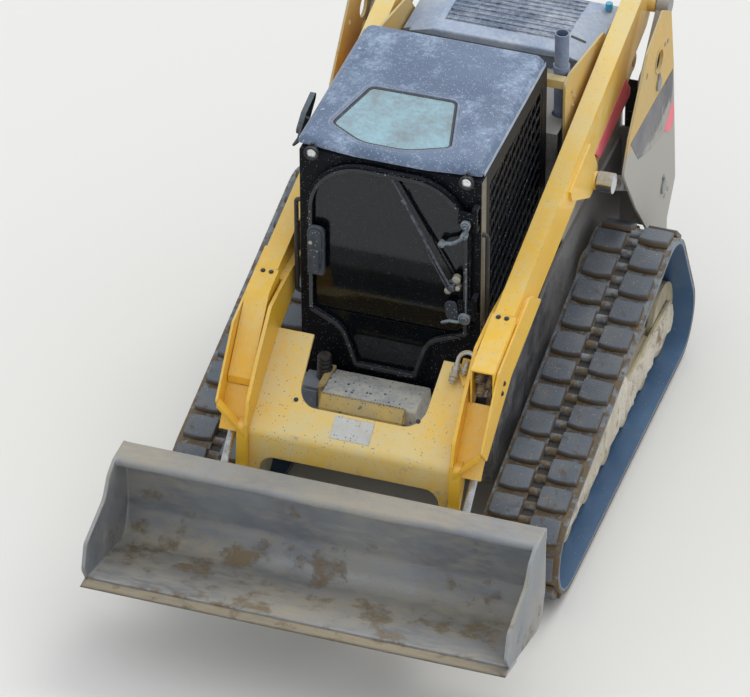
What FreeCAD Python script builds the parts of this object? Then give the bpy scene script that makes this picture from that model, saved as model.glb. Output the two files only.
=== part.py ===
import FreeCAD, Part
import math
import os

os.makedirs("parts", exist_ok=True)

# Compact track loader. Millimetres, +Z up, the machine faces -Y and +X is its left.
# Places are written from the cab's front wall (y = 0) and the ground (z = 0).
# Each piece is moved back by originShift as it is saved, to centre the whole length.

Vec = FreeCAD.Vector
axisX, axisY, axisZ = Vec(1, 0, 0), Vec(0, 1, 0), Vec(0, 0, 1)

# Whole machine
rearEnd = 2200.0
edgeFront = -1470.0
originShift = -(rearEnd + edgeFront) / 2
fitGap = 0.05
faceGap = 5.0

# Track loops: three wheels each, seen from the side, as centre y, z and outer radius
trackCentre = 765.0
trackWidth = 400.0
trackWheels = [
    # name, y, z, radius to the lug tips
    ("idler", -270.0, 250.0, 250.0),
    ("sprocket", 1340.0, 610.0, 290.0),
    ("rear", 1570.0, 250.0, 250.0),
]
lugHeight = 34.0
beltThick = 26.0
wheelGap = 1.0
rollerRadius = 92.0
rollerPlaces = [20.0, 330.0, 640.0, 950.0, 1260.0]
rollerSides = [(640.0, 700.0), (830.0, 858.0)]
sprocketSides = (742.0, 788.0)
axlePlaces = [(300.0, 360.0), (1150.0, 400.0)]
axleRadius = 60.0
frameBeam = (700.0, 830.0)
frameFace = (862.0, 876.0)
frameSlot = (861.0, 877.0)

# Rubber lugs: how many go round, how long each is, and the two staggered columns
lugCount = 32
lugLong = 106.0
lugSink = 6.0
lugColumns = [
    # low x, high x, share of a pitch that it is shifted
    (588.0, 735.0, 0.0),
    (795.0, 942.0, 0.5),
]

# Chassis tub
tubHalf = 512.0
tubSlopeStart = (300.0, 812.0)
tubSlopeEnd = 930.0
tubWall = 16.0
tubFront = -60.0
tubRear = 2080.0
tubBottom = 330.0
tubTop = 990.0
tubFrontTop = 790.0
firewallY = 985.0
firewallThick = 15.0
cowlTop = 1655.0
cowlRear = 1500.0
cowlThick = 12.0

# Towers
towerInnerX = tubHalf - 28.0
towerPlate = 12.0
towerOuterX = trackCentre - 27.0
towerOuter = [
    # y, z, corner radius
    (1562, 1795, 30), (1820, 1880, 20), (1960, 1790, 30), (2030, 1446, 120), (2127, 707, 40),
    (2000, 545, 20), (2000, 427, 15), (1684, 665, 60), (1430, 988, 60), (1200, 1331, 50),
    (1284, 1486, 40),
]
towerInner = [
    (1060, 700), (1060, 1885, 20), (1140, 1905, 20), (1686, 1786, 20), (2050, 1330, 60),
    (2050, 700),
]
towerTie = (1070.0, 1118.0, 1856.0, 1900.0)

# Lift linkage, as y and z at rest
linkPivot = (1761.0, 1497.0)
linkEye = (2041.0, 1761.0)
controlPivot = (1829.0, 1549.0)
controlEye = (1110.0, 1345.0)
bucketPivot = (-740.0, 470.0)
liftBase = (1900.0, 800.0)
tiltBase = (-120.0, 1220.0)
tiltArmLength = 200.0
tiltArmAngle = 88.0
tiltEye = (
    bucketPivot[0] + tiltArmLength * math.cos(math.radians(tiltArmAngle)),
    bucketPivot[1] + tiltArmLength * math.sin(math.radians(tiltArmAngle)),
)
pinRadius = 24.0
smallPinRadius = 19.0

# Arms: the tube's top edge rises rearward at a constant slope
armInner = tubHalf + 13.0
armOuter = armInner + 95.0
armHeight = 238.0
armSlope = 0.235
armTopFront = 1400.0
armFrontY = -110.0
armRearY = 2085.0
armWall = 8.0
sideInner = tubHalf - 24.0
sideOuter = armOuter + 25.0
innerPlate = 18.0
sidePlate = 12.0
linkSides = (armOuter + 42.0, armOuter + 102.0)
controlSides = (armInner + 13.0, armOuter - 14.0)
liftSides = (armOuter + 32.0, armOuter + 110.0)
tiltSides = (armInner + 41.0, armOuter - 14.0)
legOuter = armInner + 15.0
legFront = [
    # y, z, corner radius of the leg's front edge, round the bucket pin's eye
    (-655.0, 900.0, 30.0), (-680.0, 690.0, 80.0), (bucketPivot[0] - 62, bucketPivot[1] + 30, 20.0),
    (bucketPivot[0] - 55, bucketPivot[1] - 62, 50.0),
    (bucketPivot[0] + 62, bucketPivot[1] - 62, 50.0),
]
coverSides = (armInner - 8.0, armOuter + 10.0)
flatCover = [
    # y, z of the side flange, over the left arm's hoses
    (armFrontY, armTopFront), (-440.0, 1310.0), (-440.0, 1118.0), (-165.0, 1195.0),
    (armFrontY, 1310.0),
]
flatCoverInner = [(-109.0, 1392.0), (-441.0, 1302.0), (-441.0, 900.0), (-109.0, 900.0)]
bentCover = [
    # the same over the right arm, bent down to the floor
    (armFrontY, armTopFront), (-250.0, 1367.0, 30.0), (-514.0, 1060.0), (-514.0, 1018.0),
    (-436.0, 1124.0), (-165.0, 1195.0), (armFrontY, 1310.0),
]
bentCoverInner = [
    (-109.0, 1392.0), (-253.0, 1358.0, 25.0), (-506.0, 1056.0), (-506.0, 900.0), (-109.0, 900.0),
]

# Cylinders
liftBarrelLength = 760.0
liftRodStart = 235.0
liftBore = 29.0
liftRodRadius = 25.0
tiltBarrelLength = 560.0
tiltRodStart = 170.0
tiltBore = 23.0
tiltRodRadius = 19.0
glandLength = 40.0
slideGap = 0.3

# Bucket and hitch
bucketHalf = 1018.0
bucketSkin = 12.0
bucketCheek = 16.0
edgeThick = 16.0
edgeLap = 110.0
bucketPath = [
    # y, z, corner radius, from the wall's top over the back and forward to the edge
    (-866.0, 800.0), (-866.0, 480.0, 90.0), (-925.0, 318.0, 90.0), (-1400.0, 440.0),
]
bucketLip = [
    (-866.0, 768.0), (-857.0, 777.0), (-857.0, 838.0, 12.0), (-1003.0, 838.0, 20.0),
    (-1003.0, 795.0, 18.0), (-900.0, 768.0),
]
bucketSide = [
    (-857.0, 838.0, 8.0), (-857.0, 777.0), (-866.0, 768.0), (-866.0, 480.0, 90.0),
    (-925.0, 318.0, 90.0), (-1400.0, 440.0), (-1440.0, 520.0, 40.0), (-1400.0, 640.0, 30.0),
    (-1150.0, 715.0, 80.0), (-1085.0, 805.0, 40.0), (-1010.0, 838.0, 15.0),
]
hitchEars = [
    # low x, high x, which pins it carries
    (armInner - 64.0, armInner - 46.0, "hinge"), (armInner + 23.0, armInner + 36.0, "both"),
    (armInner + 86.0, armInner + 98.0, "tilt"),
]

# Cab
cabHalf = 435.0
cabWall = 40.0
cabFront = -40.0
cabRear = 960.0
cabBottom = 800.0
cabTop = 2058.0
roofTop = cabTop + 69.0
roofEdge = 18.0
doorThick = 30.0
doorHinge = (cabHalf - 17.0, -76.0)
doorBack = doorHinge[1] + doorThick - 6.0
doorRim = 22.0
doorFrame = 28.0
glassLap = 14.0
doorSplit = 1200.0
doorHalf = cabHalf - 40.0
doorOutline = [
    # x, z, corner radius
    (-doorHalf, cabTop - 13, 280), (doorHalf, cabTop - 13, 280), (doorHalf, 1199, 40),
    (207, 1115, 110), (142, 895, 35), (-172, 895, 35), (-240, 1100, 100), (-doorHalf, 1178, 40),
]
hingeHeights = (1330.0, 1830.0)
wideX = 500.0
sideWindow = [(70, 1080, 40), (890, 1080, 60), (890, cabTop - 68, 40), (70, cabTop - 68, 40)]
backWindow = [(-310, 1330, 50), (310, 1330, 50), (310, cabTop - 98, 50), (-310, cabTop - 98, 50)]
skylightOutline = [(-296, 60, 50), (237, 60, 50), (159, 430, 50), (-264, 430, 50)]
screenPitch = (62.0, 70.0)
screenStrand = 14.0
screenRise = 0.268
screenFrame = 24.0
screenX = (cabHalf - 14.0, cabHalf - 2.0)
lampPlace = (370.0, cabTop - 24.0)
lampRadius = 23.0

# Engine bay
bumperBore = 25.0
bumperBoreX = 440.0
bumperBoreY = 2142.0
rearKnuckles = [(690.0, 780.0), (1330.0, 1420.0)]
hoodHinge = (1556.0, 1640.0)
hoodFront = 1532.0
hoodBend = 1800.0
hoodRear = 2076.0
hoodHalf = 468.0
hoodFlat = 310.0
hoodTop = 1735.0
hoodFall = 35.0
hoodDrop = 45.0
hoodLip = 1700.0
hoodFoot = 1560.0
hoodWall = 16.0
slatPanel = (-280.0, 320.0, 1630.0, 2040.0)
slatCount = 10
slatPitch = 41.0
slatStart = 1650.0
rearDoorHinge = (-462.0, 2104.0)
louvreCount = 9
stackPlace = (444.0, 1163.0)
stackRadius = 34.0
stackTop = 2108.0


def unit(a, b):
    """Unit direction from one place to another, and the distance."""
    length = math.hypot(b[0] - a[0], b[1] - a[1])
    return (b[0] - a[0]) / length, (b[1] - a[1]) / length, length


def edgePoints(corners):
    """Return the edges of a closed outline, rounding each corner that names a radius."""
    stops = []
    count = len(corners)
    for i in range(count):
        here = Vec(corners[i][0], corners[i][1], 0)
        radius = corners[i][2] if len(corners[i]) > 2 else 0
        if radius <= 0:
            stops.append((here, None, here))
            continue
        before = Vec(corners[i - 1][0], corners[i - 1][1], 0)
        after = Vec(corners[(i + 1) % count][0], corners[(i + 1) % count][1], 0)
        toBefore = (before - here).normalize()
        toAfter = (after - here).normalize()
        half = toBefore.getAngle(toAfter) / 2
        reach = radius / math.tan(half)
        middle = (toBefore + toAfter).normalize()
        bulge = here + middle * (radius / math.sin(half) - radius)
        stops.append((here + toBefore * reach, bulge, here + toAfter * reach))
    edges = []
    for i in range(count):
        start, bulge, end = stops[i]
        if bulge is not None:
            edges.append(Part.Arc(start, bulge, end).toShape())
        following = stops[(i + 1) % count][0]
        if (following - end).Length > 1e-6:
            edges.append(Part.makeLine(end, following))
    return edges


def inset(corners, gap):
    """Outline drawn clockwise, moved inwards by a gap, with its corner radii to match."""
    moved = []
    count = len(corners)
    for i in range(count):
        here = corners[i]
        ax, az, _ = unit(corners[i - 1], here)
        bx, bz, _ = unit(here, corners[(i + 1) % count])
        nx, nz = az + bz, -(ax + bx)
        reach = gap / ((nx * az - nz * ax) or 1)
        radius = here[2] if len(here) > 2 else 0
        if radius > 0:
            outward = ax * bz - az * bx < 0
            radius = max(radius - gap, 2) if outward else radius + gap
        moved.append((here[0] + nx * reach, here[1] + nz * reach, radius))
    return moved


def faceOf(corners):
    """Face in the working plane from a closed outline."""
    return Part.Face(Part.Wire(edgePoints(corners)))


def sidePiece(corners, x0, x1):
    """Plate drawn from the side as (y, z) corners, between two x values."""
    solid = faceOf(corners).extrude(Vec(0, 0, x1 - x0))
    turn = FreeCAD.Matrix(0, 0, 1, x0, 1, 0, 0, 0, 0, 1, 0, 0, 0, 0, 0, 1)
    solid.Placement = FreeCAD.Placement(turn)
    return solid


def frontPiece(corners, y0, y1):
    """Plate drawn from the front as (x, z) corners, between two y values."""
    solid = faceOf(corners).extrude(Vec(0, 0, y0 - y1))
    solid.rotate(Vec(0, 0, 0), axisX, 90)
    solid.translate(Vec(0, y0, 0))
    return solid


def topPiece(corners, z0, z1):
    """Plate drawn from above as (x, y) corners, between two heights."""
    solid = faceOf(corners).extrude(Vec(0, 0, z1 - z0))
    solid.translate(Vec(0, 0, z0))
    return solid


def block(x0, x1, y0, y1, z0, z1):
    """Box between its limits."""
    return Part.makeBox(x1 - x0, y1 - y0, z1 - z0, Vec(x0, y0, z0))


def crossRod(place, radius, x0, x1):
    """Round bar along x at a (y, z) place."""
    return Part.makeCylinder(radius, x1 - x0, Vec(x0, place[0], place[1]), axisX)


def barBetween(x, start, end, radius):
    """Round bar in the side plane at x, from one (y, z) place to another."""
    a = Vec(x, start[0], start[1])
    b = Vec(x, end[0], end[1])
    return Part.makeCylinder(radius, (b - a).Length, a, b - a)


def pipe(points, radius, bend):
    """Round tube through points, with bends of one radius."""
    edges = []
    last = Vec(*points[0])
    for i in range(1, len(points) - 1):
        here = Vec(*points[i])
        toBefore = (last - here).normalize()
        toAfter = (Vec(*points[i + 1]) - here).normalize()
        half = toBefore.getAngle(toAfter) / 2
        reach = bend / math.tan(half)
        start = here + toBefore * reach
        end = here + toAfter * reach
        middle = here + (toBefore + toAfter).normalize() * (bend / math.sin(half) - bend)
        edges.append(Part.makeLine(last, start))
        edges.append(Part.Arc(start, middle, end).toShape())
        last = end
    edges.append(Part.makeLine(last, Vec(*points[-1])))
    path = Part.Wire(edges)
    first = Vec(*points[0])
    ring = Part.Wire(Part.makeCircle(radius, first, Vec(*points[1]) - first))
    return path.makePipeShell([ring], True, False)


def mirrored(solid):
    """Same piece on the other side of the machine."""
    return solid.mirror(Vec(0, 0, 0), axisX)


def both(solids):
    """Pieces and their mirror images."""
    return list(solids) + [mirrored(s) for s in solids]


def joined(solids):
    """One solid from several that touch."""
    whole = solids[0].multiFuse(solids[1:]) if len(solids) > 1 else solids[0]
    return whole.removeSplitter()


def save(node, shapes):
    """Write one node, centred on the machine's length."""
    solids = []
    for shape in shapes:
        solids += shape.Solids
    whole = Part.makeCompound(solids) if len(solids) > 1 else solids[0]
    whole = whole.copy()
    whole.translate(Vec(0, originShift, 0))
    whole.exportStep("parts/" + node + ".step")


def along(a, b, distance):
    """Place at a distance from a towards b."""
    dy, dz, _ = unit(a, b)
    return a[0] + dy * distance, a[1] + dz * distance


# Tracks and undercarriage

def trackTangents(inset):
    """Points where the belt leaves and meets each wheel, going round the loop."""
    points = []
    count = len(trackWheels)
    for i in range(count):
        _, y0, z0, r0 = trackWheels[i]
        _, y1, z1, r1 = trackWheels[(i + 1) % count]
        r0, r1 = r0 - inset, r1 - inset
        heading = math.atan2(z1 - z0, y1 - y0)
        normal = heading + math.acos((r0 - r1) / math.hypot(y1 - y0, z1 - z0))
        leave = (y0 + r0 * math.cos(normal), z0 + r0 * math.sin(normal))
        meet = (y1 + r1 * math.cos(normal), z1 + r1 * math.sin(normal))
        points.append((leave, meet, normal))
    return points


def trackFace(inset):
    """Face inside the loop, at an inset from the lug tips."""
    runs = trackTangents(inset)
    edges = []
    for i in range(len(runs)):
        leave, meet, normal = runs[i]
        following, _, nextNormal = runs[(i + 1) % len(runs)]
        wheel = trackWheels[(i + 1) % len(trackWheels)]
        while nextNormal > normal:
            nextNormal -= 2 * math.pi
        middle = (normal + nextNormal) / 2
        radius = wheel[3] - inset
        top = (wheel[1] + radius * math.cos(middle), wheel[2] + radius * math.sin(middle))
        edges.append(Part.makeLine(Vec(0, *leave), Vec(0, *meet)))
        edges.append(Part.Arc(Vec(0, *meet), Vec(0, *top), Vec(0, *following)).toShape())
    return Part.Face(Part.Wire(edges))


def loopStop(distance, inset):
    """Place and heading at a distance round the loop."""
    runs = trackTangents(inset)
    count = len(runs)
    while True:
        for i in range(count):
            leave, meet, normal = runs[i]
            dy, dz, length = unit(leave, meet)
            if distance <= length:
                return leave[0] + dy * distance, leave[1] + dz * distance, math.atan2(dz, dy)
            distance -= length
            _, wheelY, wheelZ, wheelR = trackWheels[(i + 1) % count]
            radius = wheelR - inset
            turn = (normal - runs[(i + 1) % count][2]) % (2 * math.pi)
            if distance <= turn * radius:
                angle = normal - distance / radius
                y = wheelY + radius * math.cos(angle)
                z = wheelZ + radius * math.sin(angle)
                return y, z, angle - math.pi / 2
            distance -= turn * radius


def loopLength(inset):
    """Length once round the loop."""
    runs = trackTangents(inset)
    total = 0
    for i in range(len(runs)):
        leave, meet, normal = runs[i]
        turn = (normal - runs[(i + 1) % len(runs)][2]) % (2 * math.pi)
        total += unit(leave, meet)[2] + turn * (trackWheels[(i + 1) % len(runs)][3] - inset)
    return total


def makeTrack():
    """Rubber belt loop with its two staggered columns of lugs."""
    outer = trackFace(lugHeight).extrude(Vec(trackWidth, 0, 0))
    inner = trackFace(lugHeight + beltThick).extrude(Vec(trackWidth, 0, 0))
    belt = outer.cut(inner)
    belt.translate(Vec(trackCentre - trackWidth / 2, 0, 0))
    reach = trackFace(0).extrude(Vec(trackCentre + trackWidth, 0, 0))
    pitch = loopLength(lugHeight) / lugCount
    lugs = []
    for x0, x1, shift in lugColumns:
        for i in range(lugCount):
            y, z, heading = loopStop((i + shift) * pitch, lugHeight)
            lug = Part.makeBox(x1 - x0, lugLong, lugHeight + lugSink, Vec(x0, -lugLong / 2, -lugSink))
            lug.rotate(Vec(0, 0, 0), axisX, math.degrees(heading))
            lug.translate(Vec(0, y, z))
            lugs.append(lug.common(reach))
    return belt.multiFuse(lugs)


def makeTrackFrame():
    """Undercarriage beam, its outer mud-caked side plate, and the axle tubes."""
    beam = sidePiece([
        (-330, 215, 30), (-330, 300, 40), (-60, 372, 60), (900, 600, 60), (1040, 520, 60),
        (1100, 380, 60), (1215, 330, 60), (1620, 300, 40), (1620, 215, 30),
    ], *frameBeam)
    spacer = sidePiece([
        (-40, 256), (-40, 372), (400, 480, 80), (660, 480, 60), (850, 420, 40), (920, 335, 30),
        (1340, 310), (1340, 256),
    ], frameBeam[1], frameFace[0])
    cheek = sidePiece([
        (-345, 150, 30), (-345, 305, 50), (-60, 385, 60), (400, 500, 80), (662, 500, 60),
        (862, 440, 40), (930, 350, 30), (1655, 318, 30), (1700, 150, 40),
    ], *frameFace)
    cheek = cheek.cut(sidePiece([(80, 340), (250, 140), (285, 140), (115, 340)], *frameSlot))
    axles = [crossRod(place, axleRadius, tubHalf, frameBeam[0]) for place in axlePlaces]
    return joined([beam, spacer, cheek] + axles)


def makeTrackWheels():
    """Sprocket and idlers, each fixed to the beam or the tub by its own hub."""
    wheels = []
    for name, y, z, outer in trackWheels:
        radius = outer - lugHeight - beltThick - wheelGap
        if name == "sprocket":
            hub = crossRod((y, z), 120, tubHalf, sprocketSides[0])
            wheels.append(joined([hub, crossRod((y, z), radius, *sprocketSides)]))
        else:
            for x0, x1 in rollerSides:
                wheels.append(crossRod((y, z), radius, x0, x1))
    height = lugHeight + beltThick + wheelGap + rollerRadius
    for y in rollerPlaces:
        for x0, x1 in rollerSides:
            wheels.append(crossRod((y, height), rollerRadius, x0, x1))
    return wheels


# Chassis

def makeMainFrame():
    """Belly tub with the tower webs and the front step tie."""
    outline = [
        (tubFront, tubBottom, 60), (tubFront, tubFrontTop), tubSlopeStart, (tubSlopeEnd, tubTop),
        (tubRear, tubTop), (tubRear, tubBottom, 90),
    ]
    inner = [
        (tubFront + tubWall, tubBottom + tubWall, 50), (tubFront + tubWall, 1200),
        (tubRear - tubWall, 1200), (tubRear - tubWall, tubBottom + tubWall, 80),
    ]
    tub = sidePiece(outline, -tubHalf, tubHalf)
    tub = tub.cut(sidePiece(inner, -tubHalf + tubWall, tubHalf - tubWall))
    tub = tub.cut(block(-430, 430, tubRear - 40, tubRear + 10, 560, 1200))
    clear = tubHalf - tubWall
    cowlHalf = towerInnerX - faceGap
    rear = firewallY + firewallThick
    firewall = block(-clear, clear, firewallY, rear, tubBottom + tubWall, tubTop)
    upright = block(-cowlHalf, cowlHalf, firewallY, rear, tubTop - 1, cowlTop)
    shelf = block(-cowlHalf, cowlHalf, firewallY, cowlRear, cowlTop - cowlThick, cowlTop)
    shelf = shelf.cut(Part.makeCylinder(stackRadius + 8, 60, Vec(*stackPlace, cowlTop - 30), axisZ))
    mounts = [block(-clear, clear, y, y + 70, cabBottom - 50, cabBottom) for y in (20, 850)]
    webs = both([
        block(tubHalf, towerOuterX, tubRear - 92, tubRear - 76, 480, tubTop + 50),
        block(towerInnerX + towerPlate, tubHalf + 1, tubRear - 92, tubRear - 76, tubTop, tubTop + 50),
    ])
    skirt = block(-cowlHalf, cowlHalf, cowlRear - cowlThick, cowlRear, cowlTop - 90, cowlTop)
    return joined([tub, firewall, upright, shelf, skirt] + mounts + webs)


def makeRearPosts():
    """Rear door posts on the tub's rear wall, with the door's hinge pins."""
    pieces = both([block(452, 480, tubRear - 40, tubRear, tubTop, 1560)])
    for low, high in rearKnuckles:
        ears = [Part.makeCylinder(8, high - low + 60, Vec(*rearDoorHinge, low - 30), axisZ)]
        for z in (low - 30, high + 6):
            ears.append(Part.makeCylinder(14, 24, Vec(*rearDoorHinge, z), axisZ))
            ears.append(block(rearDoorHinge[0] - 14, rearDoorHinge[0] + 14, tubRear, rearDoorHinge[1], z, z + 24))
        pieces.append(joined(ears))
    return pieces


def makeTower():
    """Outer and inner tower plates with the pins of both links and the lift cylinder base."""
    outer = sidePiece(towerOuter, towerOuterX, towerOuterX + towerPlate)
    outer = outer.cut(crossRod((1763, 1629), 57, towerOuterX - 5, towerOuterX + 20))
    outer = outer.cut(crossRod((1557, 1671), 17, towerOuterX - 5, towerOuterX + 20))
    inner = sidePiece(towerInner, towerInnerX, towerInnerX + towerPlate)
    linkPin = crossRod(linkPivot, pinRadius, linkSides[0] - 4, towerOuterX)
    linkBoss = crossRod(linkPivot, 44, linkSides[1] + 1, towerOuterX)
    controlPin = crossRod(controlPivot, pinRadius, towerInnerX + towerPlate, controlSides[1] + 4)
    controlBoss = crossRod(controlPivot, 44, towerInnerX + towerPlate, controlSides[0] - 1)
    liftPin = crossRod(liftBase, pinRadius, liftSides[0] - 4, towerOuterX)
    liftBoss = crossRod(liftBase, 44, liftSides[1] + 1, towerOuterX)
    outerPart = joined([outer, linkPin, linkBoss, liftPin, liftBoss])
    hoodPin = crossRod(hoodHinge, 9, 444, towerInnerX)
    halfTie = block(0, towerInnerX, *towerTie)
    innerPart = joined([inner, controlPin, controlBoss, hoodPin, halfTie])
    return [outerPart, innerPart]


# Lift arms

def armTop(y):
    """Height of the tube's top edge at y."""
    return armTopFront + armSlope * (y - armFrontY)


def makeArm():
    """One lift arm: hollow tube, front side plates, lower leg, and the lift bracket."""
    tubeOutline = [
        (armFrontY, armTop(armFrontY)), (1960, armTop(1960), 30), (armRearY, 1850, 40),
        (armRearY + 12, 1735, 30), (1990, armTop(1990) - armHeight, 30),
        (armFrontY, armTop(armFrontY) - armHeight),
    ]
    hollow = [
        (armFrontY - 5, armTop(armFrontY) - armWall), (1880, armTop(1880) - armWall),
        (1880, armTop(1880) - armHeight + armWall),
        (armFrontY - 5, armTop(armFrontY) - armHeight + armWall),
    ]
    tube = sidePiece(tubeOutline, armInner, armOuter)
    tube = tube.cut(sidePiece(hollow, armInner + armWall, armOuter - armWall))
    rearBoss = crossRod(linkEye, 44, armOuter, linkSides[0] - faceGap)
    outerSide = sidePiece([
        (150, 1335), (57, 1396, 20), (-250, 1325, 60), (-408, 1288, 20), (-653, 1000, 20),
        (-583, 917, 15), (-209, 1150, 200), (235, 1262),
    ], sideOuter - sidePlate, sideOuter)
    spacer = sidePiece([(150, 1335), (57, 1385, 20), (-100, 1350), (-100, 1190), (235, 1262)],
                       armOuter, sideOuter - sidePlate)
    innerSide = sidePiece([
        (140, 1345), (-53, 1350, 20), (-295, 1328, 30), (-480, 1163, 40), (-620, 1015, 40), *legFront,
        (bucketPivot[0] + 75, 640, 60), (-560, 800, 100), (-280, 1090, 120), (140, 1250),
    ], sideInner, sideInner + innerPlate)
    innerPad = sidePiece([(140, 1345), (-53, 1350, 20), (-100, 1345), (-100, 1200), (140, 1250)],
                         sideInner + innerPlate, armInner)
    leg = sidePiece([
        (-580, 900), *legFront, (bucketPivot[0] + 75, 640, 60), (-580, 780, 60),
    ], sideInner + innerPlate, legOuter)
    tiltPin = crossRod(tiltBase, smallPinRadius, sideInner + innerPlate, sideOuter - 1)
    bracket = [
        (725, 1533), (743, 1470, 20), (1042, 1288, 20), (1141, 1303, 30), (1164, 1391, 20),
        (1042, 1600),
    ]
    outerBracket = sidePiece(bracket, armOuter, armOuter + 12)
    innerBracket = sidePiece(bracket, armInner - 13, armInner)
    liftPin = crossRod(controlEye, pinRadius, armInner - 13, armOuter + 12)
    liftBoss = crossRod(controlEye, 44, armOuter + 12, liftSides[0] - faceGap)
    floor = sidePiece([(-430, 1118), (-422, 1112), (-632, 836), (-640, 842)],
                      sideInner + innerPlate, sideOuter - sidePlate)
    inside, outside = sideInner + innerPlate, sideOuter - sidePlate + 1
    closer = frontPiece([(inside - 1, 838), (inside - 1, 858), (outside, 1000), (outside, 976)],
                        -663, -618)
    pieces = [tube, rearBoss, liftBoss, outerSide, spacer, innerSide, innerPad, leg, tiltPin]
    pieces += [outerBracket, innerBracket, liftPin, floor, closer]
    arm = joined(pieces)
    return arm.cut(crossRod(bucketPivot, pinRadius + fitGap, sideInner - 1, legOuter + 1))


def makeCrossmember():
    """Bent plate between the arms, with a U cut over the step and an arch over the hitch."""
    slopeTop = (-205.0, 1146.0)
    fold = (-636.0, 868.0)
    foot = (-650.0, 640.0)
    thick = 14.0
    dy, dz, _ = unit(fold, slopeTop)
    plate = sidePiece([
        slopeTop, (fold[0], fold[1], 60), foot, (foot[0] + thick, foot[1]),
        (fold[0] + thick, fold[1] - thick * 0.6, 46),
        (slopeTop[0] + thick * dz, slopeTop[1] - thick * dy),
    ], -sideInner, sideInner)
    notch = topPiece([
        (-318, -150), (318, -150), (300, -500, 95), (-300, -500, 95),
    ], 700, 1300)
    arch = frontPiece([(-455, 560), (455, 560), (420, 735, 70), (-420, 735, 70)], -700, -600)
    plate = plate.cut(notch).cut(arch)
    tie = crossRod((-575, 862), 38, -sideInner, sideInner)
    return joined([plate, tie])


def makeCovers():
    """Folded sheets over the arms' fronts: a top with two flanges, open below."""
    covers = []
    for outline, hollow in ((flatCover, flatCoverInner), (bentCover, bentCoverInner)):
        cover = sidePiece(outline, *coverSides)
        covers.append(cover.cut(sidePiece(hollow, coverSides[0] + armWall, coverSides[1] - armWall)))
    return [covers[0], mirrored(covers[1])]


# Links and cylinders

def eyeLink(start, end, x0, x1, eyeRadius, waist, holes):
    """Flat link with a bored eye at each end."""
    dy, dz, length = unit(start, end)
    ny, nz = -dz, dy
    body = sidePiece([
        (start[0] + ny * waist, start[1] + nz * waist), (end[0] + ny * waist, end[1] + nz * waist),
        (end[0] - ny * waist, end[1] - nz * waist), (start[0] - ny * waist, start[1] - nz * waist),
    ], x0, x1)
    link = joined([body, crossRod(start, eyeRadius, x0, x1), crossRod(end, eyeRadius, x0, x1)])
    for place, radius in zip((start, end), holes):
        if radius <= 0:
            continue
        link = link.cut(crossRod(place, radius, x0 - 1, x1 + 1))
    return link


def barrel(base, eye, sides, radius, length, boreRadius, pinHole, rodRadius):
    """Cylinder barrel: bored base eye, and a tube closed round its rod by a gland."""
    middle = (sides[0] + sides[1]) / 2
    tube = barBetween(middle, along(base, eye, 30), along(base, eye, length), radius)
    eyeBoss = crossRod(base, pinHole + 18, sides[0], sides[1])
    whole = joined([eyeBoss, tube])
    whole = whole.cut(crossRod(base, pinHole, sides[0] - 1, sides[1] + 1))
    bore = barBetween(middle, along(base, eye, 60), along(base, eye, length - glandLength), boreRadius)
    gland = barBetween(middle, along(base, eye, 61), along(base, eye, length + 1), rodRadius + slideGap)
    return whole.cut(bore).cut(gland)


def rodWithEye(base, eye, sides, radius, start, eyeRadius, boreRadius):
    """Chromed rod with its piston, and an eye closed by its pin."""
    middle = (sides[0] + sides[1]) / 2
    _, _, length = unit(base, eye)
    rod = barBetween(middle, along(base, eye, start), along(base, eye, length - 8), radius)
    piston = barBetween(middle, along(base, eye, start - 40), along(base, eye, start + 1), boreRadius - slideGap)
    return joined([rod, piston, crossRod(eye, eyeRadius, sides[0], sides[1])])


# Bucket and its hitch plate

def strip(path, thick):
    """Outline of a bent plate: the path, then its offset to the left, corner radii kept."""
    shifted = []
    for i, corner in enumerate(path):
        here = corner[:2]
        if i == 0:
            dy, dz, _ = unit(here, path[i + 1][:2])
            shifted.append((here[0] - dz * thick, here[1] + dy * thick))
            continue
        if i == len(path) - 1:
            dy, dz, _ = unit(path[i - 1][:2], here)
            shifted.append((here[0] - dz * thick, here[1] + dy * thick))
            continue
        ay, az, _ = unit(path[i - 1][:2], here)
        by, bz, _ = unit(here, path[i + 1][:2])
        ny, nz = -(az + bz), ay + by
        size = math.hypot(ny, nz)
        ny, nz = ny / size, nz / size
        reach = thick / (ny * -az + nz * ay)
        turnLeft = ay * bz - az * by > 0
        radius = corner[2] + (-thick if turnLeft else thick) if len(corner) > 2 else 0
        shifted.append((here[0] + ny * reach, here[1] + nz * reach, radius))
    return list(path) + shifted[::-1]


def makeBucket():
    """Bucket shell with its folded top lip and two side plates."""
    inside = bucketHalf - bucketCheek
    skin = sidePiece(strip(bucketPath[::-1], bucketSkin), -inside, inside)
    side = sidePiece(bucketSide, inside, bucketHalf)
    lip = sidePiece(bucketLip, -inside, inside)
    return joined([skin, side, mirrored(side), lip])


def makeEdge():
    """Bolted cutting edge under the bucket floor's front."""
    front, rear = bucketPath[-1], bucketPath[-2]
    dy, dz, _ = unit(front, rear)
    lapEnd = along(front, rear, edgeLap)
    return sidePiece([
        front, lapEnd, (lapEnd[0] + edgeThick * dz, lapEnd[1] - edgeThick * dy),
        (front[0] - 66, front[1] - 2),
    ], -bucketHalf, bucketHalf)


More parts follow.
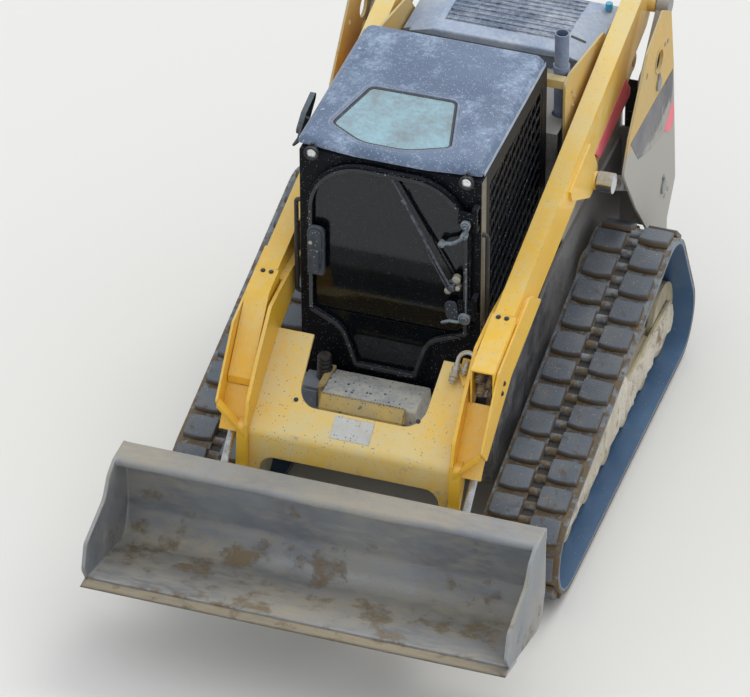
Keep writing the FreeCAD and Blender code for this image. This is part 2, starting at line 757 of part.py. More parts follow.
def makeHitch():
    """Hitch plate behind the bucket, with the ears of both pins."""
    plate = block(-hitchEars[2][1], hitchEars[2][1], -866, -846, 380, 705)
    pieces = [plate]
    for x0, x1, kind in hitchEars:
        outline = {
            "hinge": [(-848, 560), (-848, 400), (-720, 410, 40), (-680, 480, 50), (-720, 545, 40)],
            "both": [(-848, 715, 20), (-848, 400), (-720, 410, 40), (-680, 480, 50), (-692, 715, 40)],
            "tilt": [(-848, 715, 20), (-848, 550, 20), (-740, 600, 40), (-692, 640, 20), (-692, 715, 40)],
        }[kind]
        pieces += both([sidePiece(outline, x0, x1)])
    pieces += both([
        crossRod(bucketPivot, pinRadius, hitchEars[0][0], hitchEars[1][1]),
        crossRod(tiltEye, 30, hitchEars[2][1], hitchEars[2][1] + 8),
    ])
    return joined(pieces)


# Cab

doorOpening = inset(doorOutline, doorFrame)
glassOutline = inset(doorOutline, glassLap)


def makeCabFront():
    """Front wall of the cab with the doorway, and the fixed lower part of the door frame."""
    wall = frontPiece([
        (-cabHalf, cabBottom, 40), (cabHalf, cabBottom, 40), (cabHalf, cabTop), (-cabHalf, cabTop),
    ], cabFront, 0)
    wall = wall.cut(frontPiece(doorOpening, cabFront - 1, 1))
    ring = frontPiece(doorOutline, doorBack - doorRim, doorBack)
    ring = ring.cut(frontPiece(doorOpening, doorBack - doorRim - 1, doorBack + 1))
    sill = ring.cut(block(-wideX, wideX, -100, 0, doorSplit - faceGap, 2200))
    spacer = frontPiece(doorOutline, doorBack, cabFront)
    spacer = spacer.cut(frontPiece(glassOutline, doorBack - 1, cabFront + 1))
    spacer = spacer.cut(block(-wideX, wideX, -100, 0, doorSplit - faceGap, 2200))
    return joined([wall, sill, spacer])


def makeDoor():
    """Door frame ring above the fixed sill, with its hinge knuckles."""
    ring = frontPiece(doorOutline, doorBack - doorRim, doorBack)
    ring = ring.cut(frontPiece(doorOpening, doorBack - doorRim - 1, doorBack + 1))
    ring = ring.cut(block(-wideX, wideX, -100, 0, 0, doorSplit))
    pieces = [ring]
    for height in hingeHeights:
        knuckle = Part.makeCylinder(13, 90, Vec(doorHinge[0], doorHinge[1], height), axisZ)
        leaf = block(340, doorHinge[0], doorHinge[1] - 8, doorBack - 20, height + 10, height + 80)
        pieces.append(joined([knuckle, leaf]).cut(
            Part.makeCylinder(8 + fitGap, 92, Vec(doorHinge[0], doorHinge[1], height - 1), axisZ)))
    return joined(pieces)


def makeHingePosts():
    """Door hinge pins on the cab's left front post."""
    pieces = []
    for height in hingeHeights:
        pin = Part.makeCylinder(8, 130, Vec(doorHinge[0], doorHinge[1], height - 20), axisZ)
        for low in (height - 20, height + 92):
            ear = block(doorHinge[0] - 12, doorHinge[0] + 12, doorHinge[1] - 12, cabFront, low, low + 18)
            pin = pin.fuse(ear)
        pieces.append(pin.removeSplitter())
    return pieces


def makeDoorGlass():
    """Door pane, clamped behind the ring."""
    pane = frontPiece(glassOutline, doorBack, doorBack + 6)
    return pane.cut(block(-wideX, wideX, -100, 0, 0, doorSplit + 6))


def makeDoorFittings():
    """Door handle with its grip."""
    front = doorBack - doorRim
    handle = joined([
        block(-394, -368, front - 26, front, 1500, 1640),
        block(-392, -372, front - 34, front - 26, 1516, 1624),
    ])
    return [handle]


def makeCabSide():
    """Left side wall with its window cut."""
    wall = sidePiece([
        (0, cabBottom, 40), (cabRear, cabBottom, 60), (cabRear, cabTop), (0, cabTop),
    ], cabHalf - cabWall, cabHalf)
    return wall.cut(sidePiece(sideWindow, cabHalf - cabWall - 1, cabHalf + 1))


def makeScreen():
    """Side guard screen flush in the window: a rim, upright strands, and rising strands."""
    low, high = screenX
    whole = sidePiece(sideWindow, low, high)
    rim = whole.cut(sidePiece(inset(sideWindow, -screenFrame), low - 1, high + 1))
    y0, z0, y1, z1 = sideWindow[0][0], sideWindow[0][1], sideWindow[2][0], sideWindow[2][1]
    strands = []
    y = y0 + screenPitch[0]
    while y < y1 - screenFrame:
        strands.append(block(low, low + 5, y - screenStrand / 2, y + screenStrand / 2, z0, z1))
        y += screenPitch[0]
    rise = screenRise * (y1 - y0)
    z = z0 - rise + screenPitch[1]
    while z < z1:
        strands.append(sidePiece([
            (y0, z - screenStrand / 2), (y1, z + rise - screenStrand / 2),
            (y1, z + rise + screenStrand / 2), (y0, z + screenStrand / 2),
        ], low + 7, high).common(whole))
        z += screenPitch[1]
    return joined([rim] + [piece for strand in strands for piece in strand.Solids])


def makeCabBack():
    """Rear wall with its window, and the cab floor."""
    inner = cabHalf - cabWall
    wall = block(-inner, inner, cabRear - cabWall, cabRear, cabBottom, cabTop)
    window = frontPiece(backWindow, cabRear - cabWall - 1, cabRear + 1)
    floor = block(-inner, inner, 0, cabRear - cabWall, cabBottom, cabBottom + 16)
    return joined([wall.cut(window), floor])


def makeRoof():
    """Roof panel with a rain flange and the skylight cut."""
    flange = topPiece([
        (-cabHalf, -70, 70), (cabHalf, -70, 70), (cabHalf, 970, 40), (-cabHalf, 970, 40),
    ], cabTop, cabTop + 20)
    crown = topPiece([
        (-412, -58, 70), (412, -58, 70), (412, 950, 50), (-412, 950, 50),
    ], cabTop + 20, roofTop)
    topEdges = [edge for edge in crown.Edges if edge.BoundBox.ZMin > roofTop - 1]
    crown = crown.makeFillet(roofEdge, topEdges)
    roof = joined([flange, crown])
    return roof.cut(topPiece(skylightOutline, cabTop - 1, roofTop + 1))


def makeSeat():
    """Seat on its pedestal: base, cushion and backrest."""
    base = block(-170, 170, 360, 740, cabBottom + 16, 1100)
    cushion = topPiece([(-235, 320, 60), (235, 320, 60), (235, 780, 60), (-235, 780, 60)], 1080, 1190)
    back = sidePiece([(680, 1160), (765, 1160), (870, 1740, 30), (790, 1760, 30)], -215, 215)
    return joined([base, cushion, back])


def makePods():
    """Armrest consoles with their control sticks."""
    pod = block(270, 372, 300, 720, 1150, 1230)
    post = block(290, 350, 520, 640, cabBottom + 16, 1150)
    stick = Part.makeCylinder(16, 130, Vec(320, 360, 1230), axisZ)
    knob = Part.makeSphere(32, Vec(320, 360, 1375))
    return both([joined([pod, post, stick, knob])])


# Engine bay

def hoodHeight(y):
    """Height of the hood's top at y."""
    return hoodTop - max(y - hoodBend, 0) * hoodFall / (hoodRear - hoodBend)


def makeHood():
    """Engine hood between the towers: bevelled sides, a front lip and a sunk slatted panel."""
    back = hoodHinge[0] + 4
    skin = sidePiece([
        (back, hoodFoot), (back, hoodLip), (hoodFront, hoodLip), (hoodFront, hoodTop, 12),
        (hoodBend, hoodTop, 200), (hoodRear, hoodTop - hoodFall, 60), (hoodRear, hoodFoot),
    ], -hoodHalf, hoodHalf)
    hollow = sidePiece([
        (back + hoodWall, hoodFoot - 10), (back + hoodWall, hoodTop - hoodWall),
        (hoodBend, hoodTop - hoodWall, 190), (hoodRear - hoodWall, hoodTop - hoodFall - hoodWall, 50),
        (hoodRear - hoodWall, hoodFoot - 10),
    ], hoodWall - hoodHalf, hoodHalf - hoodWall)
    for solid, drop in ((skin, 0), (hollow, hoodWall + 4)):
        wedge = frontPiece([
            (hoodFlat, hoodTop - drop), (hoodFlat, hoodTop + 50), (hoodHalf + 1, hoodTop + 50),
            (hoodHalf + 1, hoodTop - hoodDrop - drop),
        ], hoodFront - 5, hoodRear + 5)
        if drop:
            hollow = hollow.cut(wedge).cut(mirrored(wedge))
        else:
            skin = skin.cut(wedge).cut(mirrored(wedge))
    x0, x1, y0, y1 = slatPanel
    sunk = sidePiece([
        (y0, hoodTop - 8), (hoodBend, hoodTop - 8), (y1, hoodHeight(y1) - 8), (y1, hoodTop + 20),
        (y0, hoodTop + 20),
    ], x0, x1)
    hood = skin.cut(hollow).cut(sunk)
    slats = []
    for i in range(slatCount):
        y = slatStart + i * slatPitch
        slats.append(block(x0, x1, y, y + 16, hoodHeight(y) - 12, hoodHeight(y) - 3))
    knuckles = [crossRod(hoodHinge, 20, hoodHalf - 28, hoodHalf)]
    hood = joined([hood] + slats + both(knuckles))
    bores = both([crossRod(hoodHinge, 9 + fitGap, hoodHalf - 29, hoodHalf + 1)])
    return hood.cut(bores[0]).cut(bores[1])


def makeRearDoor():
    """Rear engine door with its louvres and hinge knuckles."""
    front = rearDoorHinge[1] - 14
    panel = frontPiece([
        (-444, 562, 30), (448, 562, 30), (448, 1545, 30), (-444, 1545, 30),
    ], front, front + 40)
    for i in range(louvreCount):
        low = 940 + i * 55
        panel = panel.cut(block(-300, 300, front + 26, front + 41, low, low + 30))
    for low, high in rearKnuckles:
        knuckle = Part.makeCylinder(14, high - low, Vec(*rearDoorHinge, low), axisZ)
        leaf = block(rearDoorHinge[0], -440, 2094, 2108, low, high)
        panel = panel.fuse(knuckle).fuse(leaf)
        panel = panel.cut(Part.makeCylinder(8 + fitGap, 400, Vec(*rearDoorHinge, low - 100), axisZ))
    return panel.removeSplitter()


def makeStack():
    """Exhaust stack through the cowl, with its collar and its bracket to the firewall."""
    x, y = stackPlace
    rear = firewallY + firewallThick
    tube = Part.makeCylinder(stackRadius, stackTop - 1100, Vec(x, y, 1100), axisZ)
    tube = tube.fuse(Part.makeCylinder(stackRadius + 6, 35, Vec(x, y, 1895), axisZ))
    tube = tube.fuse(block(x - 24, x + 24, rear, y, 1110, 1130))
    return tube.cut(Part.makeCylinder(stackRadius - 5, 700, Vec(x, y, 1450), axisZ)).removeSplitter()


def makeStep():
    """Front step box with its grip ledge."""
    box = block(-250, 210, -300, tubFront, 640, 792)
    ledge = sidePiece([(-360, 640), (-300, 640), (-300, 760), (-316, 760), (-360, 700)], -250, 210)
    return joined([box, ledge])


def makeBumper():
    """Rear bumper beam with its tie-down eyes."""
    beam = sidePiece([
        (tubRear, 350), (tubRear, 520), (rearEnd - 40, 520, 30), (rearEnd, 480, 20), (rearEnd, 350, 20),
    ], -540, 540)
    for x in (-bumperBoreX, bumperBoreX):
        beam = beam.cut(Part.makeCylinder(bumperBore, 200, Vec(x, bumperBoreY, 340), axisZ))
    return beam


def makeLamps():
    """Front work lamps under the roof lip."""
    x, z = lampPlace
    return both([Part.makeCylinder(lampRadius, 30, Vec(x, cabFront - 30, z), axisY)])


def makeHandles():
    """Grab handles on the cab posts and the mirror."""
    grab = pipe([
        (cabHalf, -20, 1240), (cabHalf + 26, -20, 1240), (cabHalf + 26, -20, 1760), (cabHalf, -20, 1760),
    ], 11, 14)
    arm = crossRod((-20, 1900), 8, -cabHalf - 14, -cabHalf)
    mirror = block(-cabHalf - 36, -cabHalf - 14, -55, 15, 1830, 1990)
    return both([grab]) + [joined([arm, mirror])]


def makeCouplers(plate):
    """Auxiliary hydraulic couplers on the crossmember's left horn."""
    pieces = []
    for y in (-300.0, -245.0):
        height = 1146.0 + (y + 205.0) * 0.645 + 12
        pieces.append(Part.makeCylinder(18, 70, Vec(450, y, height - 30), axisZ).cut(plate))
    return pieces


# Save every node

def saveAll():
    """Write the nodes."""
    trackPieces = {"track": [makeTrack()], "track_frame": [makeTrackFrame()], "track_wheels": makeTrackWheels()}
    tower = makeTower()
    arm = makeArm()
    side = makeCabSide()
    for sideName, mirror in (("left", False), ("right", True)):
        def turned(shapes):
            return [mirrored(s) for s in shapes] if mirror else shapes
        for node, shapes in trackPieces.items():
            save(node + "_" + sideName, turned(shapes))
        save("tower_" + sideName, turned(tower))
        save("arm_" + sideName, turned([arm]))
        save("cab_" + sideName, turned([side]))
    save("main_frame", [joined([makeMainFrame()] + makeRearPosts())])
    save("rear_bumper", [makeBumper()])
    save("engine_block", [block(-300, 300, 1250, 1950, tubBottom + tubWall, 1150)])
    save("step_box", [makeStep()])
    save("exhaust_stack", [makeStack()])
    save("cab_front", [makeCabFront()] + makeHingePosts())
    save("cab_back", [makeCabBack()])
    save("cab_roof", [makeRoof()])
    save("skylight", [topPiece(skylightOutline, roofTop - 22, roofTop - 14)])
    save("side_screens", both([makeScreen()]))
    lower = frontPiece(glassOutline, doorBack, cabFront).cut(
        block(-wideX, wideX, -100, 0, doorSplit - faceGap, 2200))
    rear = frontPiece(backWindow, cabRear - 24, cabRear - 18)
    sides = both([sidePiece(sideWindow, cabHalf - cabWall + 4, cabHalf - cabWall + 10)])
    save("cab_glass", [lower, rear] + sides)
    save("seat", [makeSeat()])
    save("control_pods", makePods())
    save("work_lamps", makeLamps())
    save("handles_and_mirror", makeHandles())
    save("cab_door", [makeDoor()])
    save("door_glass", [makeDoorGlass()])
    save("door_fittings", makeDoorFittings())
    save("hood", [makeHood()])
    save("rear_door", [makeRearDoor()])
    crossmember = makeCrossmember()
    save("crossmember", [crossmember])
    save("arm_covers", makeCovers())
    save("aux_couplers", makeCouplers(crossmember))
    save("rear_links", both([eyeLink(linkPivot, linkEye, *linkSides, 52, 34, (pinRadius + fitGap, 0))]))
    holes = (pinRadius + fitGap, pinRadius + fitGap)
    save("control_links", both([eyeLink(controlPivot, controlEye, *controlSides, 48, 40, holes)]))
    save("lift_barrels", both([barrel(liftBase, controlEye, liftSides, 38, liftBarrelLength, liftBore,
                                      pinRadius + fitGap, liftRodRadius)]))
    save("lift_rods", both([rodWithEye(liftBase, controlEye, liftSides, liftRodRadius, liftRodStart, 50,
                                       liftBore)]))
    save("tilt_barrels", both([barrel(tiltBase, tiltEye, tiltSides, 30, tiltBarrelLength, tiltBore,
                                      smallPinRadius + fitGap, tiltRodRadius)]))
    save("tilt_rods", both([rodWithEye(tiltBase, tiltEye, tiltSides, tiltRodRadius, tiltRodStart, 34,
                                       tiltBore)]))
    save("bucket", [makeBucket()])
    save("cutting_edge", [makeEdge()])
    save("hitch_plate", [makeHitch()])


saveAll()
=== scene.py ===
# Compact track loader: finishes, treads, stripes, seat and small fittings round the imported frame.
# Places are written as (x, y, z) with y = 0 at the cab's front wall; at() moves them into the row frame.
import math

import bmesh
import bpy
from mathutils import Matrix, Vector, noise


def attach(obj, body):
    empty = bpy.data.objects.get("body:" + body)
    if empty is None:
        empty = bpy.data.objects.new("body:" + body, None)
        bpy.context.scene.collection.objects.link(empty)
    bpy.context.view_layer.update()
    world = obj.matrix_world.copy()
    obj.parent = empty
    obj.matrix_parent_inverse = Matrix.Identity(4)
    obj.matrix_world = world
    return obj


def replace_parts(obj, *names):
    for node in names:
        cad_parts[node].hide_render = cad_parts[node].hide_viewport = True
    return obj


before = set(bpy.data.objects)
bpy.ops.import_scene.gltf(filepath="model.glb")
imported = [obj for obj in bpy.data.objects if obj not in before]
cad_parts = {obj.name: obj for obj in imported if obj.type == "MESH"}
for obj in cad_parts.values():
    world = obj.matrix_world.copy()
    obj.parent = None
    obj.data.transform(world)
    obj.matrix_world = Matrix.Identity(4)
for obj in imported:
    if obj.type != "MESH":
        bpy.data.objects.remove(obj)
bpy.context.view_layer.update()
rowShift = -0.365

cameraLook = {
    "azimuth": 18.76, "elevation": 37.13, "roll": -0.21, "distance": 28.0,
    "target": (-0.109, 0.0, 0.921), "lens": 288.54, "sensor": 36.0,
    "shiftX": 0.0055, "shiftY": 0.0104,
}
stageLook = {
    "floorColor": (226, 224, 219), "skyTop": 1.05, "skyLow": 0.62, "sunStrength": 0.95,
    "sunSize": 28.0, "sunTurn": (38.0, 8.0, 150.0), "floorHalf": 40.0,
}


def at(x, y, z):
    return Vector((x, y + rowShift, z))


def srgb(r, g, b):
    parts = [c / 255 for c in (r, g, b)]
    return tuple(c / 12.92 if c <= 0.04045 else ((c + 0.055) / 1.055) ** 2.4 for c in parts) + (1.0,)


# Camera, lights and floor

def makeCamera():
    azimuth, elevation = math.radians(cameraLook["azimuth"]), math.radians(cameraLook["elevation"])
    back = Vector((math.sin(azimuth) * math.cos(elevation), -math.cos(azimuth) * math.cos(elevation),
                   math.sin(elevation)))
    data = bpy.data.cameras.new("photoCamera")
    camera = bpy.data.objects.new("photoCamera", data)
    bpy.context.scene.collection.objects.link(camera)
    data.sensor_width = cameraLook["sensor"]
    data.lens = cameraLook["lens"]
    data.shift_x, data.shift_y = cameraLook["shiftX"], cameraLook["shiftY"]
    data.clip_start, data.clip_end = 1.0, 200.0
    camera.location = at(*cameraLook["target"]) + back * cameraLook["distance"]
    camera.rotation_mode = "QUATERNION"
    turn = (-back).to_track_quat("-Z", "Y").to_matrix()
    camera.rotation_quaternion = (turn @ Matrix.Rotation(math.radians(cameraLook["roll"]), 3, "Z")).to_quaternion()
    bpy.context.scene.camera = camera


def makeStage():
    scene = bpy.context.scene
    scene.view_settings.view_transform = "Standard"
    world = bpy.data.worlds.new("softSky")
    scene.world = world
    world.use_nodes = True
    tree = world.node_tree
    tree.nodes.clear()
    output = tree.nodes.new("ShaderNodeOutputWorld")
    light = tree.nodes.new("ShaderNodeBackground")
    coordinates = tree.nodes.new("ShaderNodeTexCoord")
    split = tree.nodes.new("ShaderNodeSeparateXYZ")
    level = tree.nodes.new("ShaderNodeMapRange")
    level.inputs["From Min"].default_value = -0.2
    level.inputs["From Max"].default_value = 0.9
    level.inputs["To Min"].default_value = stageLook["skyLow"]
    level.inputs["To Max"].default_value = stageLook["skyTop"]
    tree.links.new(coordinates.outputs["Generated"], split.inputs[0])
    tree.links.new(split.outputs["Z"], level.inputs["Value"])
    tree.links.new(level.outputs["Result"], light.inputs["Strength"])
    light.inputs["Color"].default_value = (0.93, 0.96, 1.0, 1.0)
    tree.links.new(light.outputs[0], output.inputs["Surface"])

    sun = bpy.data.lights.new("softSun", "SUN")
    sun.energy = stageLook["sunStrength"]
    sun.angle = math.radians(stageLook["sunSize"])
    lamp = bpy.data.objects.new("softSun", sun)
    lamp.rotation_euler = [math.radians(a) for a in stageLook["sunTurn"]]
    scene.collection.objects.link(lamp)

    half = stageLook["floorHalf"]
    mesh = bpy.data.meshes.new("floor")
    mesh.from_pydata([(-half, -half, 0), (half, -half, 0), (half, half, 0), (-half, half, 0)], [], [(0, 1, 2, 3)])
    floor = bpy.data.objects.new("floor", mesh)
    scene.collection.objects.link(floor)
    material = bpy.data.materials.new("paleFloor")
    material.use_nodes = True
    shader = material.node_tree.nodes["Principled BSDF"]
    shader.inputs["Base Color"].default_value = srgb(*stageLook["floorColor"])
    shader.inputs["Roughness"].default_value = 0.9
    mesh.materials.append(material)
    print("stage: camera, sky, sun and floor")


# Shader node groups

def newGroup(name, inputs, outputs):
    group = bpy.data.node_groups.new(name, "ShaderNodeTree")
    for socketName, kind, value in inputs:
        socket = group.interface.new_socket(socketName, in_out="INPUT", socket_type=kind)
        socket.default_value = value
    for socketName, kind in outputs:
        group.interface.new_socket(socketName, in_out="OUTPUT", socket_type=kind)
    return group, group.nodes.new("NodeGroupInput"), group.nodes.new("NodeGroupOutput")


def mathNode(tree, kind, first, second=0.0, third=None, clamp=False):
    node = tree.nodes.new("ShaderNodeMath")
    node.operation = kind
    node.use_clamp = clamp
    for index, value in enumerate((first, second, third)):
        if value is None:
            continue
        if isinstance(value, (int, float)):
            node.inputs[index].default_value = value
        else:
            tree.links.new(value, node.inputs[index])
    return node.outputs[0]


def noiseNode(tree, vector, scale, detail=4.0, rough=0.6):
    node = tree.nodes.new("ShaderNodeTexNoise")
    tree.links.new(vector, node.inputs["Vector"])
    for name, value in (("Scale", scale), ("Detail", detail), ("Roughness", rough)):
        if isinstance(value, (int, float)):
            node.inputs[name].default_value = value
        else:
            tree.links.new(value, node.inputs[name])
    return node.outputs["Fac"]


def rangeNode(tree, value, low, high, toLow=0.0, toHigh=1.0):
    node = tree.nodes.new("ShaderNodeMapRange")
    node.interpolation_type = "SMOOTHSTEP"
    tree.links.new(value, node.inputs["Value"])
    for name, given in (("From Min", low), ("From Max", high), ("To Min", toLow), ("To Max", toHigh)):
        if isinstance(given, (int, float)):
            node.inputs[name].default_value = given
        else:
            tree.links.new(given, node.inputs[name])
    return node.outputs["Result"]


def mixColor(tree, mask, first, second):
    node = tree.nodes.new("ShaderNodeMix")
    node.data_type = "RGBA"
    tree.links.new(mask, node.inputs[0])
    for socket, value in ((node.inputs[6], first), (node.inputs[7], second)):
        if isinstance(value, tuple):
            socket.default_value = value
        else:
            tree.links.new(value, socket)
    return node.outputs[2]


def makeDustGroup():
    # Dust that settles on faces that look up, broken by noise
    group, given, out = newGroup("settledDust", [
        ("Scale", "NodeSocketFloat", 6.0), ("Amount", "NodeSocketFloat", 0.4),
        ("Upward", "NodeSocketFloat", 0.4), ("Contrast", "NodeSocketFloat", 0.25),
        ("Stretch", "NodeSocketVector", (1, 1, 1)),
    ], [("Mask", "NodeSocketFloat"), ("Fine", "NodeSocketFloat")])
    coordinates = group.nodes.new("ShaderNodeTexCoord").outputs["Object"]
    stretched = group.nodes.new("ShaderNodeVectorMath")
    stretched.operation = "MULTIPLY"
    group.links.new(coordinates, stretched.inputs[0])
    group.links.new(given.outputs["Stretch"], stretched.inputs[1])
    facing = group.nodes.new("ShaderNodeSeparateXYZ")
    geometry = group.nodes.new("ShaderNodeNewGeometry")
    group.links.new(geometry.outputs["Normal"], facing.inputs[0])
    up = mathNode(group, "MAXIMUM", facing.outputs["Z"], 0.0)
    broad = noiseNode(group, stretched.outputs[0], given.outputs["Scale"], 8.0, 0.68)
    fineScale = mathNode(group, "MULTIPLY", given.outputs["Scale"], 9.0)
    fine = noiseNode(group, stretched.outputs[0], fineScale, 4.0, 0.6)
    mixed = mathNode(group, "MULTIPLY_ADD", fine, 0.35, mathNode(group, "MULTIPLY", broad, 0.65))
    lifted = mathNode(group, "MULTIPLY_ADD", up, given.outputs["Upward"], mixed)
    level = mathNode(group, "SUBTRACT", 1.0, given.outputs["Amount"])
    low = mathNode(group, "SUBTRACT", level, given.outputs["Contrast"])
    high = mathNode(group, "ADD", level, given.outputs["Contrast"])
    group.links.new(rangeNode(group, lifted, low, high), out.inputs["Mask"])
    group.links.new(fine, out.inputs["Fine"])
    return group


def makeMudGroup():
    # Mud thrown up from below: thick under Low, none over High, in ragged patches
    group, given, out = newGroup("thrownMud", [
        ("Scale", "NodeSocketFloat", 9.0), ("Amount", "NodeSocketFloat", 0.5),
        ("Low", "NodeSocketFloat", 0.2), ("High", "NodeSocketFloat", 1.2),
    ], [("Mask", "NodeSocketFloat"), ("Height", "NodeSocketFloat")])
    coordinates = group.nodes.new("ShaderNodeTexCoord").outputs["Object"]
    split = group.nodes.new("ShaderNodeSeparateXYZ")
    group.links.new(coordinates, split.inputs[0])
    reach = rangeNode(group, split.outputs["Z"], given.outputs["Low"], given.outputs["High"], 1.0, 0.0)
    lumps = noiseNode(group, coordinates, given.outputs["Scale"], 9.0, 0.7)
    weight = mathNode(group, "MULTIPLY_ADD", reach, given.outputs["Amount"], lumps)
    mask = rangeNode(group, weight, 0.78, 0.92)
    group.links.new(mask, out.inputs["Mask"])
    group.links.new(mathNode(group, "MULTIPLY", mask, lumps), out.inputs["Height"])
    return group


def makeSpeckGroup():
    # Small dried drops of different sizes
    group, given, out = newGroup("driedDrops", [
        ("Scale", "NodeSocketFloat", 90.0), ("Density", "NodeSocketFloat", 0.3), ("Size", "NodeSocketFloat", 0.3),
    ], [("Mask", "NodeSocketFloat")])
    coordinates = group.nodes.new("ShaderNodeTexCoord").outputs["Object"]
    cells = group.nodes.new("ShaderNodeTexVoronoi")
    group.links.new(coordinates, cells.inputs["Vector"])
    group.links.new(given.outputs["Scale"], cells.inputs["Scale"])
    shade = group.nodes.new("ShaderNodeSeparateColor")
    group.links.new(cells.outputs["Color"], shade.inputs[0])
    kept = mathNode(group, "LESS_THAN", shade.outputs[0], given.outputs["Density"])
    radius = mathNode(group, "MULTIPLY", shade.outputs[1], given.outputs["Size"])
    edge = mathNode(group, "ADD", radius, 0.06)
    drop = rangeNode(group, cells.outputs["Distance"], radius, edge, 1.0, 0.0)
    group.links.new(mathNode(group, "MULTIPLY", drop, kept), out.inputs["Mask"])
    return group


def makeWearGroup():
    # Paint rubbed off along edges, and edges that catch the light
    group, given, out = newGroup("edgeWear", [
        ("Radius", "NodeSocketFloat", 0.006), ("Amount", "NodeSocketFloat", 0.5), ("Scale", "NodeSocketFloat", 30.0),
    ], [("Mask", "NodeSocketFloat"), ("Normal", "NodeSocketVector")])
    bevel = group.nodes.new("ShaderNodeBevel")
    bevel.samples = 4
    group.links.new(given.outputs["Radius"], bevel.inputs["Radius"])
    geometry = group.nodes.new("ShaderNodeNewGeometry")
    same = group.nodes.new("ShaderNodeVectorMath")
    same.operation = "DOT_PRODUCT"
    group.links.new(bevel.outputs[0], same.inputs[0])
    group.links.new(geometry.outputs["Normal"], same.inputs[1])
    edge = rangeNode(group, same.outputs["Value"], 0.8, 0.995, 1.0, 0.0)
    coordinates = group.nodes.new("ShaderNodeTexCoord").outputs["Object"]
    patches = noiseNode(group, coordinates, given.outputs["Scale"], 6.0, 0.7)
    level = mathNode(group, "SUBTRACT", 1.0, given.outputs["Amount"])
    worn = rangeNode(group, patches, mathNode(group, "SUBTRACT", level, 0.06), mathNode(group, "ADD", level, 0.06))
    group.links.new(mathNode(group, "MULTIPLY", edge, worn), out.inputs["Mask"])
    group.links.new(bevel.outputs[0], out.inputs["Normal"])
    return group


shaderGroups = {
    "dust": makeDustGroup(), "mud": makeMudGroup(), "specks": makeSpeckGroup(), "wear": makeWearGroup(),
}


def useGroup(tree, key, **values):
    node = tree.nodes.new("ShaderNodeGroup")
    node.node_tree = shaderGroups[key]
    for name, value in values.items():
        node.inputs[name].default_value = value
    return node


plainFinish = {
    "base": (120, 120, 120), "second": None, "dust": (176, 164, 140), "mud": (118, 104, 84), "bare": (150, 148, 144),
    "drops": (150, 142, 126), "dustScale": 6.0, "dustAmount": 0.35, "upward": 0.3, "contrast": 0.18,
    "stretch": (1, 1, 1), "mudScale": 9.0, "mudAmount": 0.3, "mudLow": 0.2, "mudHigh": 1.2,
    "dropScale": 90.0, "dropDensity": 0.2, "dropSize": 0.28, "wearRadius": 0.005, "wear": 0.45,
    "rough": 0.45, "dustRough": 0.85, "metallic": 0.0, "bareMetallic": 0.6, "grain": 0.02, "grainScale": 160.0,
    "coat": 0.0, "specular": 0.5, "grime": None, "zone": None, "fade": None,
}


def zoneMask(tree, coordinates, low, high):
    # One inside a box of object coordinates, nought outside, with a soft rim
    split = tree.nodes.new("ShaderNodeSeparateXYZ")
    tree.links.new(coordinates, split.inputs[0])
    mask = None
    for axis, a, b in zip("XYZ", low, high):
        inside = mathNode(tree, "MULTIPLY", rangeNode(tree, split.outputs[axis], a - 0.002, a + 0.002),
                          rangeNode(tree, split.outputs[axis], b - 0.002, b + 0.002, 1.0, 0.0))
        mask = inside if mask is None else mathNode(tree, "MULTIPLY", mask, inside)
    return mask


